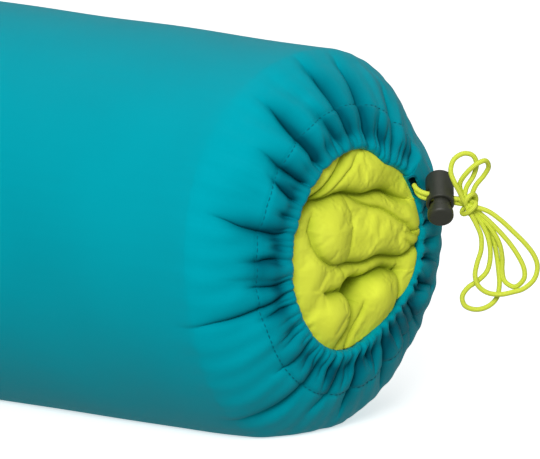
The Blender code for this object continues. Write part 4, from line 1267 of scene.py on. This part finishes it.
def make_buttonhole_stitches():
    """Close bars of thread from the slot's edge outwards, all the way round it."""
    straight = HOLE_HALF - HOLE_WIDTH / 2
    turn = np.linspace(0, 2 * math.pi, 73)[:-1]
    at_end = np.abs(np.cos(turn)) > 0.2
    inner_along = straight * np.where(at_end, np.sign(np.cos(turn)), np.cos(turn) / 0.2)
    inner = np.stack([inner_along, 0 * turn], axis=-1)
    way = unit(np.stack([np.cos(turn) * at_end, np.sin(turn)], axis=-1))
    lift = 3.25 * MM
    spots = []
    for reach in (HOLE_WIDTH / 2 - 0.1 * MM, HOLE_WIDTH / 2 + 0.8 * MM):
        flat = inner + way * reach
        out = np.sqrt(np.maximum(lift**2 - flat[:, 1:] ** 2, 0))
        spots.append(EXIT_RING + flat[:, :1] * EXIT_ALONG + flat[:, 1:] * EXIT_ACROSS + out * EXIT_WAY)
    out = unit(EXIT_WAY + 0.3 * way[:, 1:] * EXIT_ACROSS)
    points, faces = stitch_bars(spots[0], spots[1], out, 0.4 * MM)
    return close_ends(new_piece("buttonhole_stitches", points, faces))


exit_tape = make_exit_patch()
buttonhole_stitches = make_buttonhole_stitches()

# %% [markdown]
# ## Finishes
#
# Taffeta is a plain weave of bright, flat yarns. Its colour is even, its gloss is soft, and close up each
# crossing of warp and weft is a tiny bump. The weave is two sine waves on the cloth's own coordinates, one
# the other's opposite, so that a warp yarn is up where the weft goes under.


# %% Cloth finishes
def weave(finish, pitch):
    """0 to 1: a plain weave with `pitch` metres between yarns, sin(u) * sin(v), plus a rib for each yarn."""
    u, v, _ = finish.cloth.split()
    wave = 2 * math.pi / pitch
    up, along = (u * wave).sine(), (v * wave).sine()
    rib = (u * (2 * wave)).sine() + (v * (2 * wave)).sine()
    return up * along * 0.35 + rib * 0.1 + 0.5


def teal_taffeta():
    finish = Finish("teal_taffeta", Specular_IOR_Level=0.1, Specular_Tint=(*linear(20, 190, 205), 1.0))
    cloudy = finish.place.noise(22.0, 3.0)
    streak = finish.cloth.stretched(900, 14, 1).noise(1.0, 2.0)
    shade = (cloudy * 0.6 + streak * 0.4).clamped()
    cloth_colour = shade.tint(linear(0, 156, 172), linear(0, 170, 186))
    # Painted shade: the colour goes towards a dark teal where the mesh carries painted shade, in the creases,
    # under their lips and on the casing's inner side.
    shade_share = (finish.painted("painted_shade") * 0.8).clamped(0, 0.9)
    finish.feed("Base Color", shade_share.tint(cloth_colour, linear(0, 74, 92)))
    finish.feed("Roughness", streak * 0.14 + 0.36)
    finish.bump(weave(finish, 0.34 * MM) + finish.place.noise(420.0, 3.0) * 0.8, 0.05 * MM)
    return finish.material


def lime_brushed():
    """The pillow's brushed cover: matt, with a soft nap that shows as a fine cloud."""
    finish = Finish("lime_brushed", Specular_IOR_Level=0.3, Specular_Tint=(*linear(210, 225, 60), 1.0))
    cloudy = finish.place.noise(60.0, 4.0)
    nap = finish.place.noise(2400.0, 3.0)
    cloth_colour = (cloudy * 0.7 + nap * 0.3).clamped().tint(linear(226, 236, 62), linear(242, 250, 88))
    # Painted shade: the colour goes towards a dark olive in the cover's creases and where it lies deep.
    shade_share = (finish.painted("painted_shade") * 0.75).clamped()
    finish.feed("Base Color", shade_share.tint(cloth_colour, linear(104, 130, 2)))
    finish.feed("Roughness", nap * 0.12 + 0.66)
    finish.bump(nap * 0.5 + finish.place.noise(900.0, 2.0) * 0.5, 0.09 * MM)
    return finish.material


def lime_cord():
    """Braid: two sets of strands cross at a slant, and each is a ridge where it lies on top."""
    finish = Finish("lime_cord", Specular_IOR_Level=0.3)
    u, v, _ = finish.cloth.split()
    round_wave = 8 / CORD
    slant = 2 * math.pi / (1.1 * MM)
    one = (u * round_wave + v * slant).sine()
    two = (u * round_wave - v * slant).sine()
    braid = one * two * 0.5 + 0.5
    # Painted shade: the cord's colour is darker in the grooves between the strands, where the braid is low.
    finish.feed("Base Color", braid.tint(linear(196, 214, 40), linear(240, 248, 92)))
    finish.feed("Roughness", braid * 0.1 + 0.55)
    finish.bump(braid, 0.12 * MM)
    return finish.material


def teal_thread():
    finish = Finish("teal_thread", Specular_IOR_Level=0.1)
    twist = finish.place.noise(3000.0, 2.0)
    finish.feed("Base Color", twist.tint(linear(0, 84, 100), linear(0, 108, 124)))
    finish.feed("Roughness", twist * 0.2 + 0.45)
    return finish.material


def teal_tape():
    finish = Finish("teal_tape", Specular_IOR_Level=0.3, Specular_Tint=(*linear(20, 190, 205), 1.0))
    rib = weave(finish, 0.6 * MM)
    # Painted shade: the tape's colour is darker between its ribs, where the weave is low.
    finish.feed("Base Color", rib.clamped().tint(linear(0, 138, 154), linear(0, 158, 174)))
    finish.feed("Roughness", rib * 0.1 + 0.5)
    finish.bump(rib, 0.08 * MM)
    return finish.material


def black_webbing():
    """Webbing: rows of flat warp yarns, each over two wefts and under two, stepped from row to row."""
    finish = Finish("black_webbing", Sheen_Weight=0.15, Specular_IOR_Level=0.4)
    u, v, _ = finish.cloth.split()
    row = u * (2 * math.pi / (1.5 * MM))
    step = v * (2 * math.pi / (2.2 * MM)) + row * 0.5
    ridge = (row.sine() * 0.3 + step.sine() * 0.35 + 0.5).clamped()
    # Painted shade: the webbing's colour is darker between the yarns' ridges.
    finish.feed("Base Color", ridge.tint(linear(18, 18, 20), linear(44, 44, 47)))
    finish.feed("Roughness", 0.8 - ridge * 0.15)
    finish.bump(ridge, 0.25 * MM)
    return finish.material


def moulded_black():
    """Acetal plastic: near black, with a spark-eroded texture and a few bright handling marks."""
    finish = Finish("moulded_black", Specular_IOR_Level=0.5)
    grain = finish.place.noise(2600.0, 3.0)
    marks = finish.place.noise(380.0, 5.0, 0.7)
    finish.feed("Base Color", marks.tint(linear(36, 38, 30), linear(58, 60, 50)))
    finish.feed("Roughness", marks * 0.2 + 0.38)
    finish.bump(grain, 0.035 * MM)
    return finish.material


def spring_steel():
    finish = Finish("spring_steel", Metallic=1.0)
    drawn = finish.place.noise(1800.0, 2.0)
    finish.feed("Base Color", drawn.tint((0.42, 0.42, 0.43), (0.62, 0.62, 0.63)))
    finish.feed("Roughness", drawn * 0.15 + 0.25)
    return finish.material


# %% Put the finishes on
taffeta, brushed, braid = teal_taffeta(), lime_brushed(), lime_cord()
thread, tape, webbing = teal_thread(), teal_tape(), black_webbing()
plastic, steel = moulded_black(), spring_steel()

finish_of = {
    sack_cloth: (taffeta, "teal_cloth"), base_cloth: (taffeta, "teal_cloth"),
    casing_stitches: (thread, "teal_thread"), buttonhole_stitches: (thread, "teal_thread"),
    exit_tape: (tape, "teal_tape"), grab_loop_webbing: (webbing, "black_webbing"),
    bartack_left: (webbing, "black_webbing"), bartack_right: (webbing, "black_webbing"),
    pillow_cover: (brushed, "lime_cloth"), upper_tail: (braid, "lime_cord"), lower_tail: (braid, "lime_cord"),
    knot: (braid, "lime_cord"), casing_cord: (braid, "lime_cord"),
    lock_barrel: (plastic, "black_plastic"), lock_button: (plastic, "black_plastic"),
    lock_spring: (steel, "spring_steel"),
}  # fmt: skip
for piece, (material, slot) in finish_of.items():
    piece.data.materials.clear()
    piece.data.materials.append(material)
for node, material in (("base_seam_binding", tape), ("side_seam_binding", tape)):
    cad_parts[node].data.materials.clear()
    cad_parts[node].data.materials.append(material)

# %% [markdown]
# ## Put each piece on its body
#
# A piece rides on the body that carries it, and stands for the plain CAD solids that it replaces, which
# are hidden.

# %% Ride and replace
for piece in (
    sack_cloth, base_cloth, casing_stitches, buttonhole_stitches, exit_tape, grab_loop_webbing, bartack_left,
    bartack_right, pillow_cover, upper_tail, lower_tail, knot, casing_cord,
):  # fmt: skip
    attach(piece, "sack")
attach(lock_barrel, "lock")
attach(lock_spring, "lock")
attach(lock_button, "button")

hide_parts("sack_side_panel", "drawcord_casing")
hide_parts("sack_base_panel")
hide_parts("casing_stitch_row")
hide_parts("cord_exit_patch")
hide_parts("grab_loop")
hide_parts("grab_loop_bartack_left")
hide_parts("grab_loop_bartack_right")
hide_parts("pillow_top_panel", "pillow_bottom_panel", "pillow_edge_seam", "pillow_foam_fill")
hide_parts("cord_tail_upper", "tail_short_loops")
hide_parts("cord_tail_lower", "tail_long_loops")
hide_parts("tail_knot")
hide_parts("drawcord_in_casing")
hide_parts("cord_lock_barrel")
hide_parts("cord_lock_button")
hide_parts("cord_lock_spring")
LOCK - 9.5 * MM * LOCK_AXIS
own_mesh(lock_spring)

# %% The end
bpy.context.view_layer.update()
